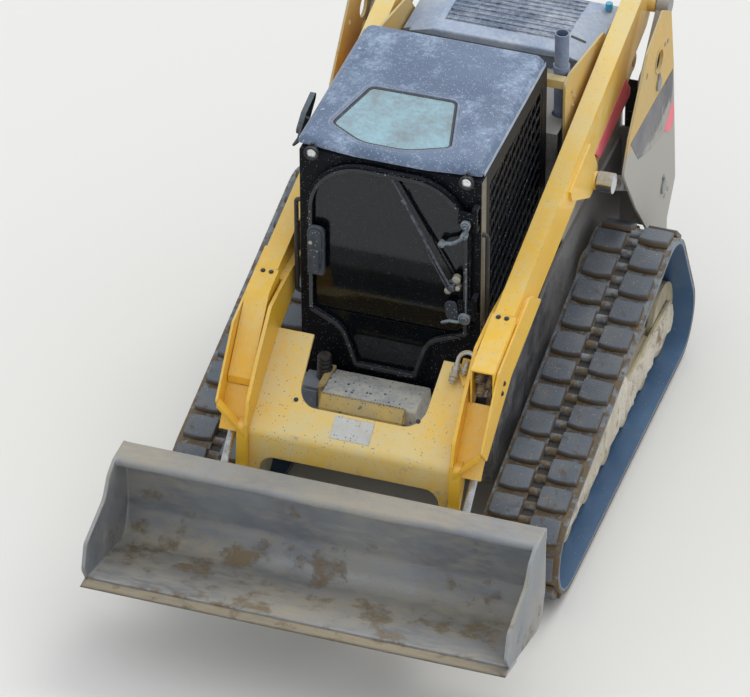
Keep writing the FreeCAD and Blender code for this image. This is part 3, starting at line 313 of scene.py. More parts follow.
def makeFinish(name, **changes):
    look = {**plainFinish, **changes}
    material = bpy.data.materials.new(name)
    material.use_nodes = True
    tree = material.node_tree
    shader = tree.nodes["Principled BSDF"]
    coordinates = tree.nodes.new("ShaderNodeTexCoord").outputs["Object"]
    tone = noiseNode(tree, coordinates, 2.3, 3.0, 0.5)
    base = srgb(*look["base"])
    second = srgb(*look["second"]) if look["second"] else tuple(c * 0.86 for c in base[:3]) + (1.0,)
    color = mixColor(tree, rangeNode(tree, tone, 0.35, 0.65), base, second)
    # A zone's stripes paint a louvre grille: its dark colour is painted shade in the gaps, its lighter stripes painted
    # light on the slat tops
    if look["zone"]:
        low, high, inside, litSlat = look["zone"]
        stretch = tree.nodes.new("ShaderNodeVectorMath")
        stretch.operation = "MULTIPLY"
        stretch.inputs[1].default_value = (2.0, 60.0, 2.0)
        tree.links.new(coordinates, stretch.inputs[0])
        lines = rangeNode(tree, noiseNode(tree, stretch.outputs[0], 1.0, 5.0, 0.6), 0.38, 0.68)
        color = mixColor(tree, zoneMask(tree, coordinates, low, high), color,
                         mixColor(tree, lines, srgb(*inside), srgb(*litSlat)))
    dust = useGroup(tree, "dust", Scale=look["dustScale"], Amount=look["dustAmount"], Upward=look["upward"],
                    Contrast=look["contrast"], Stretch=look["stretch"])
    if look["fade"]:
        near, far, extra = look["fade"]
        split = tree.nodes.new("ShaderNodeSeparateXYZ")
        tree.links.new(coordinates, split.inputs[0])
        amount = rangeNode(tree, split.outputs["Y"], near, far, look["dustAmount"], look["dustAmount"] + extra)
        tree.links.new(amount, dust.inputs["Amount"])
    mud = useGroup(tree, "mud", Scale=look["mudScale"], Amount=look["mudAmount"], Low=look["mudLow"],
                   High=look["mudHigh"])
    drops = useGroup(tree, "specks", Scale=look["dropScale"], Density=look["dropDensity"], Size=look["dropSize"])
    wear = useGroup(tree, "wear", Radius=look["wearRadius"], Amount=look["wear"])
    color = mixColor(tree, wear.outputs["Mask"], color, srgb(*look["bare"]))
    color = mixColor(tree, dust.outputs["Mask"], color, srgb(*look["dust"]))
    color = mixColor(tree, drops.outputs["Mask"], color, srgb(*look["drops"]))
    color = mixColor(tree, mud.outputs["Mask"], color, srgb(*look["mud"]))
    if look["grime"]:
        layer = tree.nodes.new("ShaderNodeAttribute")
        layer.attribute_name = "grime"
        color = mixColor(tree, layer.outputs["Fac"], color, srgb(*look["grime"]))
    tree.links.new(color, shader.inputs["Base Color"])
    cover = mathNode(tree, "MAXIMUM", dust.outputs["Mask"], mud.outputs["Mask"])
    rough = rangeNode(tree, cover, 0.0, 1.0, look["rough"], look["dustRough"])
    tree.links.new(rough, shader.inputs["Roughness"])
    if look["metallic"] > 0 or look["bareMetallic"] > 0:
        bare = mathNode(tree, "MULTIPLY", wear.outputs["Mask"], look["bareMetallic"])
        metal = mathNode(tree, "MAXIMUM", bare, look["metallic"])
        clean = mathNode(tree, "SUBTRACT", 1.0, cover)
        tree.links.new(mathNode(tree, "MULTIPLY", metal, clean), shader.inputs["Metallic"])
    shader.inputs["Coat Weight"].default_value = look["coat"]
    shader.inputs["Specular IOR Level"].default_value = look["specular"]
    fine = noiseNode(tree, coordinates, look["grainScale"], 3.0, 0.6)
    height = mathNode(tree, "MULTIPLY_ADD", mud.outputs["Height"], 3.0, fine)
    height = mathNode(tree, "MULTIPLY_ADD", drops.outputs["Mask"], 0.6, height)
    bump = tree.nodes.new("ShaderNodeBump")
    bump.inputs["Strength"].default_value = 0.6
    bump.inputs["Distance"].default_value = look["grain"] * 0.1
    tree.links.new(height, bump.inputs["Height"])
    tree.links.new(wear.outputs["Normal"], bump.inputs["Normal"])
    tree.links.new(bump.outputs["Normal"], shader.inputs["Normal"])
    return material


# Finishes

def makeYellow():
    return makeFinish("machineYellow", base=(244, 194, 46), second=(236, 184, 54), dust=(226, 206, 146),
                      mud=(168, 152, 124), bare=(120, 104, 84), dustScale=3.0, dustAmount=0.3, upward=0.14,
                      contrast=0.22, mudAmount=0.22, mudLow=0.3, mudHigh=1.5, dropDensity=0.12, rough=0.38,
                      drops=(186, 170, 136), coat=0.2, fade=(-0.4, 1.5, 0.22))


def makeCrossPaint():
    return makeFinish("crossPaint", base=(246, 200, 70), second=(238, 196, 92), dust=(226, 208, 156),
                      mud=(176, 162, 138), bare=(124, 110, 92), dustScale=4.0, dustAmount=0.46, upward=0.1,
                      contrast=0.2, mudAmount=0.3, mudLow=0.3, mudHigh=1.6, dropDensity=0.3, rough=0.5,
                      drops=(150, 142, 126), wear=0.8)


def makeTowerPaint():
    return makeFinish("towerPaint", base=(220, 176, 78), second=(206, 168, 92), dust=(196, 178, 132),
                      mud=(176, 172, 164), bare=(120, 104, 84), dustScale=4.0, dustAmount=0.45, mudScale=5.0,
                      mudAmount=1.1, mudLow=1.0, mudHigh=1.62, dropDensity=0.3, rough=0.5, drops=(150, 142, 126))


def makeCabBlack():
    return makeFinish("cabBlack", base=(9, 12, 20), second=(6, 8, 14), dust=(44, 48, 56), bare=(96, 98, 102),
                      mud=(120, 108, 92), dustScale=5.0, dustAmount=0.28, upward=0.35, mudAmount=0.1,
                      drops=(150, 156, 164), dropScale=110.0, dropDensity=0.5, dropSize=0.26, rough=0.5,
                      wear=0.3, mudHigh=1.3, specular=0.15)


def makeRoofBlack():
    return makeFinish("roofBlack", base=(86, 104, 130), second=(100, 118, 144), dust=(164, 181, 204),
                      bare=(160, 170, 188), mud=(150, 150, 150), dustScale=5.0, dustAmount=0.42, upward=0.0,
                      contrast=0.12, mudAmount=0.0, drops=(190, 200, 214), dropScale=140.0, dropDensity=0.4,
                      dropSize=0.34, rough=0.4, wear=0.7, wearRadius=0.012, bareMetallic=0.0)


def makeRubber():
    return makeFinish("trackRubber", base=(90, 98, 108), second=(104, 112, 122), dust=(132, 126, 114),
                      mud=(124, 108, 86), bare=(150, 138, 114), dustScale=9.0, dustAmount=0.36, upward=0.0,
                      contrast=0.2, mudAmount=0.24, mudLow=0.0, mudHigh=2.4, mudScale=16.0, rough=0.5,
                      dropDensity=0.3, drops=(160, 150, 130), wear=0.3, wearRadius=0.008, bareMetallic=0.0,
                      grain=0.05, specular=0.4, grime=(104, 86, 60))


def makeTrackSteel():
    return makeFinish("trackSteel", base=(120, 116, 108), second=(146, 138, 122), dust=(186, 176, 152),
                      mud=(196, 184, 154), bare=(90, 86, 78), dustScale=12.0, dustAmount=0.55, mudAmount=0.75,
                      mudLow=-0.4, mudHigh=1.2, mudScale=7.0, rough=0.7, dropDensity=0.4, drops=(120, 100, 74),
                      grain=0.1, grainScale=60.0, bareMetallic=0.0)


def makeChassis():
    return makeFinish("chassisPaint", base=(60, 62, 68), second=(80, 80, 82), dust=(142, 140, 138),
                      mud=(136, 124, 104), bare=(120, 118, 112), dustScale=5.0, dustAmount=0.42, upward=0.3,
                      mudAmount=0.4, mudLow=0.2, mudHigh=0.9, dropDensity=0.45, drops=(134, 126, 112),
                      dropScale=140.0, rough=0.55, fade=(0.1, 1.3, 0.3))


def makeBucketSteel():
    return makeFinish("bucketSteel", base=(128, 134, 142), second=(154, 158, 162), dust=(166, 158, 142),
                      mud=(134, 118, 94), bare=(190, 196, 204), dustScale=4.0, dustAmount=0.42, upward=0.12,
                      stretch=(0.35, 1, 1), mudAmount=0.3, mudLow=0.2, mudHigh=1.3, mudScale=5.0, rough=0.42,
                      metallic=0.45, wear=0.7, wearRadius=0.02, dropDensity=0.3, grain=0.04)


def makeEdgeSteel():
    return makeFinish("edgeSteel", base=(128, 128, 130), second=(104, 100, 96), dust=(150, 138, 116),
                      mud=(126, 110, 88), bare=(206, 210, 216), dustScale=5.0, dustAmount=0.3, mudAmount=0.3,
                      stretch=(0.3, 1, 1), rough=0.34, metallic=0.8, wear=0.8, wearRadius=0.02, dropDensity=0.2)


def makeHoodGrey():
    return makeFinish("hoodGrey", base=(146, 163, 188), second=(130, 146, 170), dust=(188, 194, 204),
                      mud=(150, 146, 140), bare=(206, 212, 222), dustScale=5.0, dustAmount=0.45, upward=0.0,
                      mudAmount=0.0, drops=(200, 204, 212), dropScale=130.0, dropDensity=0.35, rough=0.45,
                      wear=0.5, bareMetallic=0.0,
                      # Grille zone: dark painted shade between the slats, lighter stripes as painted light on the slats
                      zone=((-0.284, 1.263, 1.5), (0.324, 1.69, 1.75), (62, 76, 98), (110, 128, 154)))


def makeStackSteel():
    return makeFinish("stackSteel", base=(118, 134, 162), second=(102, 116, 142), dust=(150, 158, 172),
                      mud=(120, 116, 112), bare=(150, 158, 172), dustScale=14.0, dustAmount=0.4, mudAmount=0.0,
                      rough=0.5, dropDensity=0.2, bareMetallic=0.2)


def makeCylinderGrey():
    return makeFinish("cylinderGrey", base=(128, 132, 140), second=(142, 144, 146), dust=(166, 160, 150),
                      mud=(140, 126, 102), bare=(150, 150, 150), dustScale=12.0, dustAmount=0.4, upward=0.2,
                      mudAmount=0.3, mudHigh=1.4, rough=0.45, dropDensity=0.3)


def makeRodChrome():
    return makeFinish("rodChrome", base=(200, 202, 206), second=(178, 180, 184), dust=(160, 154, 142),
                      mud=(140, 128, 106), dustScale=16.0, dustAmount=0.25, mudAmount=0.1, rough=0.16,
                      metallic=0.95, dropDensity=0.15, wear=0.2, grain=0.005)


def makeCouplerSteel():
    return makeFinish("couplerSteel", base=(196, 198, 200), second=(168, 166, 160), dust=(170, 160, 138),
                      mud=(150, 134, 104), dustScale=20.0, dustAmount=0.3, mudAmount=0.1, rough=0.25,
                      metallic=0.85, dropDensity=0.2, wear=0.4)


def makeLitStepBeige():
    # Beige lifted above the step's own colour: painted light against the cab's shadow on the step
    return makeFinish("litStepBeige", base=(222, 218, 204), second=(204, 202, 192), dust=(120, 136, 158),
                      mud=(112, 120, 132), bare=(96, 106, 122), dustScale=6.0, dustAmount=0.42, upward=0.0,
                      mudAmount=0.3, mudLow=0.0, mudHigh=1.6, mudScale=14.0, rough=0.6, dropDensity=0.35,
                      drops=(70, 84, 112), dropScale=60.0, dropSize=0.4)


def makePlasticBlack():
    return makeFinish("plasticBlack", base=(34, 35, 38), second=(28, 29, 32), dust=(84, 82, 78), mud=(100, 92, 80),
                      dustScale=7.0, dustAmount=0.25, mudAmount=0.05, rough=0.55, dropDensity=0.2, wear=0.2,
                      bareMetallic=0.0, drops=(120, 118, 112))


def makeEngineGrey():
    return makeFinish("engineGrey", base=(78, 80, 82), second=(62, 62, 62), dust=(110, 104, 94), dustAmount=0.4,
                      rough=0.6, mudAmount=0.2)


def makeSeatFabric():
    return makeFinish("seatFabric", base=(44, 46, 50), second=(36, 37, 40), dust=(88, 86, 82), mud=(96, 88, 76),
                      dustScale=7.0, dustAmount=0.3, mudAmount=0.0, rough=0.85, dropDensity=0.1, wear=0.1,
                      bareMetallic=0.0, grain=0.03, grainScale=420.0, specular=0.25)


def makeBeltRubber():
    return makeFinish("beltRubber", base=(98, 110, 128), second=(120, 130, 142), dust=(150, 152, 150),
                      mud=(118, 102, 80), bare=(150, 150, 146), dustScale=14.0, dustAmount=0.5, upward=0.0,
                      contrast=0.16, mudAmount=0.45, mudLow=0.0, mudHigh=2.2, mudScale=22.0, rough=0.35,
                      dropDensity=0.35, drops=(176, 172, 160), wear=0.3, bareMetallic=0.0, grain=0.05)


def makeInnerRubber():
    return makeFinish("innerRubber", base=(64, 92, 124), second=(76, 106, 138), dust=(96, 118, 144),
                      mud=(96, 98, 100), bare=(112, 140, 168), dustScale=5.0, dustAmount=0.35, upward=0.0,
                      mudAmount=0.0, rough=0.32, dropDensity=0.15, drops=(120, 136, 150), wear=0.5,
                      wearRadius=0.004, bareMetallic=0.0, grain=0.01)


def makeClay():
    return makeFinish("driedClay", base=(202, 194, 178), second=(184, 174, 154), dust=(218, 212, 198),
                      mud=(140, 118, 90), bare=(200, 190, 170), dustScale=9.0, dustAmount=0.45, upward=0.0,
                      stretch=(1, 1, 0.16), mudAmount=0.26, mudScale=7.0, mudLow=0.1, mudHigh=0.9, rough=0.85,
                      dropDensity=0.3, drops=(118, 96, 70), grain=0.1, grainScale=50.0, bareMetallic=0.0)


def makeWetMud():
    return makeFinish("wetMud", base=(98, 84, 66), second=(78, 66, 52), dust=(140, 122, 96), mud=(112, 94, 70),
                      bare=(120, 104, 82), dustScale=22.0, dustAmount=0.4, mudAmount=0.4, rough=0.7,
                      dropDensity=0.3, drops=(150, 132, 104), grain=0.2, grainScale=40.0, bareMetallic=0.0)


def makeLampChrome():
    return makeFinish("lampChrome", base=(236, 238, 240), second=(206, 210, 216), dust=(200, 202, 204),
                      dustAmount=0.1, mudAmount=0.0, rough=0.12, metallic=0.6, dropDensity=0.05, wear=0.0,
                      grain=0.002)


def makeLitRedPaint():
    # Red lifted above the stripe's own colour: painted light for side faces that stand in shade
    return makeFinish("litRedPaint", base=(242, 92, 110), second=(244, 116, 132), dust=(236, 168, 178),
                      mud=(180, 150, 140), bare=(228, 196, 196), dustScale=9.0, dustAmount=0.4, upward=0.0,
                      mudAmount=0.05, rough=0.4, dropDensity=0.3, drops=(226, 176, 176))


def makeBandPaint():
    return makeFinish("bandPaint", base=(70, 72, 80), second=(92, 94, 102), dust=(160, 156, 152),
                      mud=(170, 166, 160), bare=(150, 150, 150), dustScale=5.0, dustAmount=0.42, upward=0.0,
                      contrast=0.24, mudAmount=0.75, mudScale=7.0, mudLow=0.95, mudHigh=1.5, rough=0.5,
                      dropDensity=0.4, drops=(170, 166, 158))


def makeBlankPlate():
    return makeFinish("blankPlate", base=(206, 208, 206), second=(186, 188, 188), dust=(196, 178, 138),
                      mud=(150, 140, 122), dustScale=30.0, dustAmount=0.4, upward=0.0, mudAmount=0.0,
                      rough=0.5, dropDensity=0.5, drops=(120, 116, 108), wear=0.0)


def makeDustyPost():
    return makeFinish("dustyPost", base=(112, 104, 90), second=(126, 118, 102), dust=(146, 138, 122),
                      mud=(120, 108, 92), dustScale=12.0, dustAmount=0.4, mudAmount=0.2, rough=0.7,
                      dropDensity=0.4, drops=(160, 154, 140), wear=0.2, bareMetallic=0.0)


def makeSealRubber():
    return makeFinish("sealRubber", base=(34, 37, 42), second=(26, 28, 33), dust=(70, 72, 74),
                      mud=(110, 104, 94), dustScale=20.0, dustAmount=0.4, mudAmount=0.05, rough=0.4,
                      dropDensity=0.3, drops=(160, 160, 156), wear=0.2, bareMetallic=0.0)


def makeLedgeYellow():
    return makeFinish("ledgeYellow", base=(232, 198, 104), second=(208, 180, 104), dust=(196, 180, 140),
                      mud=(112, 104, 92), bare=(96, 84, 66), dustScale=9.0, dustAmount=0.45, upward=0.1,
                      mudAmount=0.4, mudScale=18.0, mudHigh=1.8, rough=0.5, dropDensity=0.4,
                      drops=(110, 100, 84), wear=0.8, wearRadius=0.008, bareMetallic=0.2)


def makeHoseRubber():
    return makeFinish("hoseRubber", base=(96, 100, 110), second=(80, 84, 92), dust=(130, 130, 128),
                      mud=(120, 112, 98), dustScale=30.0, dustAmount=0.3, mudAmount=0.05, rough=0.5,
                      dropDensity=0.2, wear=0.1, bareMetallic=0.0)


def makeLatchGrey():
    return makeFinish("latchGrey", base=(52, 62, 74), second=(42, 48, 58), dust=(96, 104, 110), mud=(96, 92, 86),
                      dustScale=16.0, dustAmount=0.3, mudAmount=0.05, rough=0.3, dropDensity=0.3, wear=0.3,
                      bareMetallic=0.0, drops=(150, 154, 156))


def makeHingeSteel():
    return makeFinish("hingeSteel", base=(86, 98, 110), second=(64, 74, 86), dust=(140, 150, 158),
                      mud=(100, 100, 98), bare=(180, 190, 198), dustScale=30.0, dustAmount=0.4, mudAmount=0.05,
                      rough=0.25, metallic=0.3, dropDensity=0.4, wear=0.7, drops=(180, 186, 190))


def makeWiperBlack():
    return makeFinish("wiperBlack", base=(30, 34, 42), second=(48, 54, 64), dust=(120, 126, 134), mud=(110, 108, 104),
                      dustScale=40.0, dustAmount=0.35, mudAmount=0.0, rough=0.25, dropDensity=0.4, wear=0.4,
                      bareMetallic=0.3, drops=(150, 156, 164))


def makeBluePlastic():
    return makeFinish("bluePlastic", base=(46, 150, 206), second=(60, 166, 218), dust=(130, 176, 200),
                      dustAmount=0.2, mudAmount=0.0, rough=0.4, dropDensity=0.1, wear=0.1, bareMetallic=0.0)


def makeTailRed():
    return makeFinish("tailRed", base=(150, 20, 22), second=(120, 14, 16), dust=(150, 90, 84), dustAmount=0.2,
                      mudAmount=0.0, rough=0.15, dropDensity=0.15, wear=0.0)


def makeGlass(name, tint, density, dust):
    material = bpy.data.materials.new(name)
    material.use_nodes = True
    tree = material.node_tree
    shader = tree.nodes["Principled BSDF"]
    shader.inputs["Transmission Weight"].default_value = density
    shader.inputs["IOR"].default_value = 1.45
    shader.inputs["Specular IOR Level"].default_value = 0.3
    group = useGroup(tree, "dust", Scale=6.0, Amount=dust, Upward=0.0, Contrast=0.2, Stretch=(1, 1, 1))
    drops = useGroup(tree, "specks", Scale=150.0, Density=0.3, Size=0.2)
    color = mixColor(tree, group.outputs["Mask"], srgb(*tint), srgb(150, 160, 166))
    color = mixColor(tree, drops.outputs["Mask"], color, srgb(170, 174, 172))
    tree.links.new(color, shader.inputs["Base Color"])
    cover = mathNode(tree, "MAXIMUM", group.outputs["Mask"], drops.outputs["Mask"])
    tree.links.new(rangeNode(tree, cover, 0.0, 1.0, 0.05, 0.6), shader.inputs["Roughness"])
    return material


finishes = {
    "yellow": makeYellow(), "cross": makeCrossPaint(), "tower": makeTowerPaint(), "cab": makeCabBlack(), "roof": makeRoofBlack(),
    "rubber": makeRubber(), "trackSteel": makeTrackSteel(), "chassis": makeChassis(),
    "bucket": makeBucketSteel(), "edge": makeEdgeSteel(), "hood": makeHoodGrey(), "stack": makeStackSteel(),
    "cylinder": makeCylinderGrey(), "rod": makeRodChrome(), "coupler": makeCouplerSteel(),
    "step": makeLitStepBeige(), "plastic": makePlasticBlack(), "engine": makeEngineGrey(),
    "fabric": makeSeatFabric(), "latch": makeLatchGrey(), "hinge": makeHingeSteel(), "wiper": makeWiperBlack(),
    "belt": makeBeltRubber(), "beltInner": makeInnerRubber(), "clay": makeClay(),
    "wetMud": makeWetMud(), "lamp": makeLampChrome(), "red": makeLitRedPaint(), "band": makeBandPaint(),
    "blank": makeBlankPlate(), "post": makeDustyPost(), "seal": makeSealRubber(), "ledge": makeLedgeYellow(),
    "hose": makeHoseRubber(), "blue": makeBluePlastic(), "tail": makeTailRed(),
    "cabGlass": makeGlass("cabGlass", (84, 100, 114), 0.97, 0.04),
    "skylightGlass": makeGlass("skylightGlass", (176, 218, 230), 0.3, 0.5),
}
nodeFinish = {
    "main_frame": "chassis", "rear_bumper": "chassis", "engine_block": "engine", "step_box": "step",
    "exhaust_stack": "stack", "cab_front": "cab", "cab_left": "cab", "cab_right": "cab", "cab_back": "cab",
    "cab_roof": "roof", "skylight": "skylightGlass", "side_screens": "cab", "cab_glass": "cabGlass",
    "seat": "plastic", "control_pods": "plastic", "work_lamps": "plastic", "handles_and_mirror": "plastic",
    "track_left": "rubber", "track_right": "rubber", "track_frame_left": "trackSteel",
    "track_frame_right": "trackSteel", "track_wheels_left": "trackSteel", "track_wheels_right": "trackSteel",
    "tower_left": "tower", "tower_right": "tower", "cab_door": "cab", "door_glass": "cabGlass",
    "door_fittings": "plastic", "hood": "hood", "rear_door": "plastic", "arm_left": "yellow",
    "arm_right": "yellow", "crossmember": "cross", "arm_covers": "yellow", "aux_couplers": "coupler",
    "rear_links": "cylinder", "control_links": "yellow", "lift_barrels": "cylinder", "lift_rods": "rod",
    "tilt_barrels": "cylinder", "tilt_rods": "rod", "bucket": "bucket", "cutting_edge": "edge",
    "hitch_plate": "chassis",
}


def dressFrame():
    for node, key in nodeFinish.items():
        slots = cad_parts[node].material_slots
        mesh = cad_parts[node].data
        if not slots:
            mesh.materials.append(finishes[key])
        for slot in slots:
            slot.material = finishes[key]
    print("frame: every node has its finish")


# Mesh helpers

def addBox(shape, low, high):
    corners = [(x, y, z) for x in (low[0], high[0]) for y in (low[1], high[1]) for z in (low[2], high[2])]
    v = [shape.verts.new(c) for c in corners]
    for ring in ((0, 1, 3, 2), (4, 6, 7, 5), (0, 4, 5, 1), (2, 3, 7, 6), (0, 2, 6, 4), (1, 5, 7, 3)):
        shape.faces.new([v[i] for i in ring])


def addPrism(shape, outline, push):
    low = [shape.verts.new(p) for p in outline]
    high = [shape.verts.new(Vector(p) + Vector(push)) for p in outline]
    count = len(outline)
    shape.faces.new(low[::-1])
    shape.faces.new(high)
    for i in range(count):
        j = (i + 1) % count
        shape.faces.new([low[i], low[j], high[j], high[i]])


def addRod(shape, start, end, radius, sides=16, endRadius=None):
    start, end = Vector(start), Vector(end)
    turn = (end - start).to_track_quat("Z", "Y").to_matrix()
    rings = []
    for place, size in ((start, radius), (end, radius if endRadius is None else endRadius)):
        rings.append([shape.verts.new(place + turn @ Vector((size * math.cos(a), size * math.sin(a), 0)))
                      for a in (math.tau * i / sides for i in range(sides))])
    shape.faces.new(rings[0][::-1])
    shape.faces.new(rings[1])
    for i in range(sides):
        j = (i + 1) % sides
        shape.faces.new([rings[0][i], rings[0][j], rings[1][j], rings[1][i]])


def addTube(shape, points, radius, sides=12):
    points = [Vector(p) for p in points]
    rings = []
    side = None
    for i, place in enumerate(points):
        ahead = points[min(i + 1, len(points) - 1)] - points[max(i - 1, 0)]
        ahead.normalize()
        if side is None:
            side = ahead.orthogonal().normalized()
        side = (side - ahead * side.dot(ahead)).normalized()
        up = ahead.cross(side)
        rings.append([shape.verts.new(place + (side * math.cos(a) + up * math.sin(a)) * radius)
                      for a in (math.tau * k / sides for k in range(sides))])
    shape.faces.new(rings[0][::-1])
    shape.faces.new(rings[-1])
    for first, second in zip(rings, rings[1:]):
        for k in range(sides):
            m = (k + 1) % sides
            shape.faces.new([first[k], first[m], second[m], second[k]])


def addBolt(shape, place, axis, radius=0.012, height=0.008):
    place, axis = Vector(place), Vector(axis).normalized()
    addRod(shape, place - axis * 0.002, place + axis * 0.002, radius * 1.5, 16)
    addRod(shape, place + axis * 0.002, place + axis * height, radius, 6)


def bentPath(points, bend, steps=5):
    # Points with their corners rounded to one radius of bend
    points = [Vector(p) for p in points]
    route = [points[0]]
    for before, here, after in zip(points, points[1:], points[2:]):
        first = here + (before - here).normalized() * bend
        last = here + (after - here).normalized() * bend
        for i in range(steps + 1):
            t = i / steps
            route.append(first * (1 - t) ** 2 + here * 2 * t * (1 - t) + last * t ** 2)
    return route + [points[-1]]


def roundOutline(corners, steps=5):
    # Places round an outline, with an arc at each corner that names a radius
    places = []
    for i, corner in enumerate(corners):
        here = Vector(corner[:2])
        radius = corner[2] if len(corner) > 2 else 0
        if radius <= 0:
            places.append(here)
            continue
        toBefore = (Vector(corners[i - 1][:2]) - here).normalized()
        toAfter = (Vector(corners[(i + 1) % len(corners)][:2]) - here).normalized()
        half = toBefore.angle(toAfter) / 2
        centre = here + (toBefore + toAfter).normalized() * radius / math.sin(half)
        start = here + toBefore * radius / math.tan(half) - centre
        end = here + toAfter * radius / math.tan(half) - centre
        first = math.atan2(start.y, start.x)
        turn = (math.atan2(end.y, end.x) - first + math.pi) % math.tau - math.pi
        for k in range(steps + 1):
            a = first + turn * k / steps
            places.append(centre + Vector((math.cos(a), math.sin(a))) * radius)
    return places


def insetOutline(corners, gap):
    # A clockwise outline moved inwards, its radii to match
    moved = []
    for i, corner in enumerate(corners):
        here = Vector(corner[:2])
        a = (here - Vector(corners[i - 1][:2])).normalized()
        b = (Vector(corners[(i + 1) % len(corners)][:2]) - here).normalized()
        side = Vector((a.y + b.y, -(a.x + b.x)))
        place = here + side * gap / side.dot(Vector((a.y, -a.x)))
        radius = corner[2] if len(corner) > 2 else 0
        if radius > 0:
            radius = max(radius - gap if a.x * b.y - a.y * b.x < 0 else radius + gap, 0.002)
        moved.append((place.x, place.y, radius))
    return moved


def addRing(shape, outer, inner, push):
    # A flat band between two outlines of as many places, given some thickness
    push = Vector(push)
    rings = [[shape.verts.new(p) for p in outer], [shape.verts.new(p) for p in inner],
             [shape.verts.new(p + push) for p in inner], [shape.verts.new(p + push) for p in outer]]
    for first, second in zip(rings, rings[1:] + rings[:1]):
        for i in range(len(outer)):
            j = (i + 1) % len(outer)
            shape.faces.new([first[i], first[j], second[j], second[i]])


def finishPiece(name, shape, finish, body, bevel=0.0, segments=2, angle=35.0):
    # One named object from a bmesh, with its finish, on its body
    bmesh.ops.recalc_face_normals(shape, faces=shape.faces)
    mesh = bpy.data.meshes.new(name)
    shape.to_mesh(mesh)
    shape.free()
    return placePiece(name, mesh, finish, body, bevel, segments, angle)


def placePiece(name, mesh, finish, body, bevel=0.0, segments=2, angle=35.0):
    piece = bpy.data.objects.new(name, mesh)
    bpy.context.scene.collection.objects.link(piece)
    mesh.materials.clear()
    mesh.materials.append(finishes[finish])
    mesh.shade_smooth()
    mesh.set_sharp_from_angle(angle=math.radians(angle))
    if bevel > 0:
        edge = piece.modifiers.new("softEdges", "BEVEL")
        edge.width, edge.segments = bevel, segments
        edge.limit_method, edge.angle_limit = "ANGLE", math.radians(angle)
        edge.harden_normals = True
    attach(piece, body)
    return piece


def mirroredMesh(mesh, name):
    copy = mesh.copy()
    copy.name = name
    copy.transform(Matrix.Scale(-1, 4, (1, 0, 0)))
    copy.flip_normals()
    return copy


# Geometry node tools

def newNodes(name, inputs):
    group = bpy.data.node_groups.new(name, "GeometryNodeTree")
    group.interface.new_socket("Geometry", in_out="INPUT", socket_type="NodeSocketGeometry")
    for socketName, kind in inputs:
        group.interface.new_socket(socketName, in_out="INPUT", socket_type=kind)
    group.interface.new_socket("Geometry", in_out="OUTPUT", socket_type="NodeSocketGeometry")
    return group, group.nodes.new("NodeGroupInput"), group.nodes.new("NodeGroupOutput")


def makeRoundGroup():
    # Copies of the given mesh spread evenly round a closed loop, their Y axis along it
    group, given, out = newNodes("spreadRound", [
        ("Loop", "NodeSocketObject"), ("Count", "NodeSocketInt"), ("Shift", "NodeSocketFloat"),
        ("Finish", "NodeSocketMaterial"),
    ])
    nodes, link = group.nodes, group.links.new
    loop = nodes.new("GeometryNodeObjectInfo")
    link(given.outputs["Loop"], loop.inputs["Object"])
    curve = nodes.new("GeometryNodeMeshToCurve")
    link(loop.outputs["Geometry"], curve.inputs["Mesh"])
    points = nodes.new("GeometryNodePoints")
    link(given.outputs["Count"], points.inputs["Count"])
    number = nodes.new("GeometryNodeInputIndex")
    shifted = nodes.new("ShaderNodeMath")
    link(number.outputs[0], shifted.inputs[0])
    link(given.outputs["Shift"], shifted.inputs[1])
    factor = nodes.new("ShaderNodeMath")
    factor.operation = "DIVIDE"
    link(shifted.outputs[0], factor.inputs[0])
    link(given.outputs["Count"], factor.inputs[1])
    sample = nodes.new("GeometryNodeSampleCurve")
    sample.mode = "FACTOR"
    link(curve.outputs["Curve"], sample.inputs["Curves"])
    link(factor.outputs[0], sample.inputs["Factor"])
    turn = nodes.new("FunctionNodeAxesToRotation")
    turn.primary_axis, turn.secondary_axis = "Y", "X"
    link(sample.outputs["Tangent"], turn.inputs["Primary Axis"])
    turn.inputs["Secondary Axis"].default_value = (1, 0, 0)
    spread = nodes.new("GeometryNodeSetPosition")
    link(points.outputs[0], spread.inputs["Geometry"])
    link(sample.outputs["Position"], spread.inputs["Position"])
    place = nodes.new("GeometryNodeInstanceOnPoints")
    link(spread.outputs[0], place.inputs["Points"])
    link(given.outputs["Geometry"], place.inputs["Instance"])
    link(turn.outputs[0], place.inputs["Rotation"])
    real = nodes.new("GeometryNodeRealizeInstances")
    link(place.outputs[0], real.inputs[0])
    dress = nodes.new("GeometryNodeSetMaterial")
    link(real.outputs[0], dress.inputs["Geometry"])
    link(given.outputs["Finish"], dress.inputs["Material"])
    link(dress.outputs[0], out.inputs[0])
    return group


nodeTools = {"round": makeRoundGroup()}


def bakeNodes(name, shape, tool, values):
    # Runs a node tool on a small mesh and keeps only the mesh that comes out
    mesh = bpy.data.meshes.new(name + "Unit")
    bmesh.ops.recalc_face_normals(shape, faces=shape.faces)
    shape.to_mesh(mesh)
    shape.free()
    unit = bpy.data.objects.new(name + "Unit", mesh)
    bpy.context.scene.collection.objects.link(unit)
    run = unit.modifiers.new("tool", "NODES")
    run.node_group = nodeTools[tool]
    for item in nodeTools[tool].interface.items_tree:
        if item.item_type == "SOCKET" and item.in_out == "INPUT" and item.name in values:
            run[item.identifier] = values[item.name]
    bpy.context.view_layer.update()
    result = bpy.data.meshes.new_from_object(unit.evaluated_get(bpy.context.evaluated_depsgraph_get()))
    result.name = name
    bpy.data.objects.remove(unit)
    bpy.data.meshes.remove(mesh)
    return result


def joinMeshes(name, meshes):
    shape = bmesh.new()
    for mesh in meshes:
        shape.from_mesh(mesh)
        bpy.data.meshes.remove(mesh)
    whole = bpy.data.meshes.new(name)
    shape.to_mesh(whole)
    shape.free()
    return whole


# Track treads

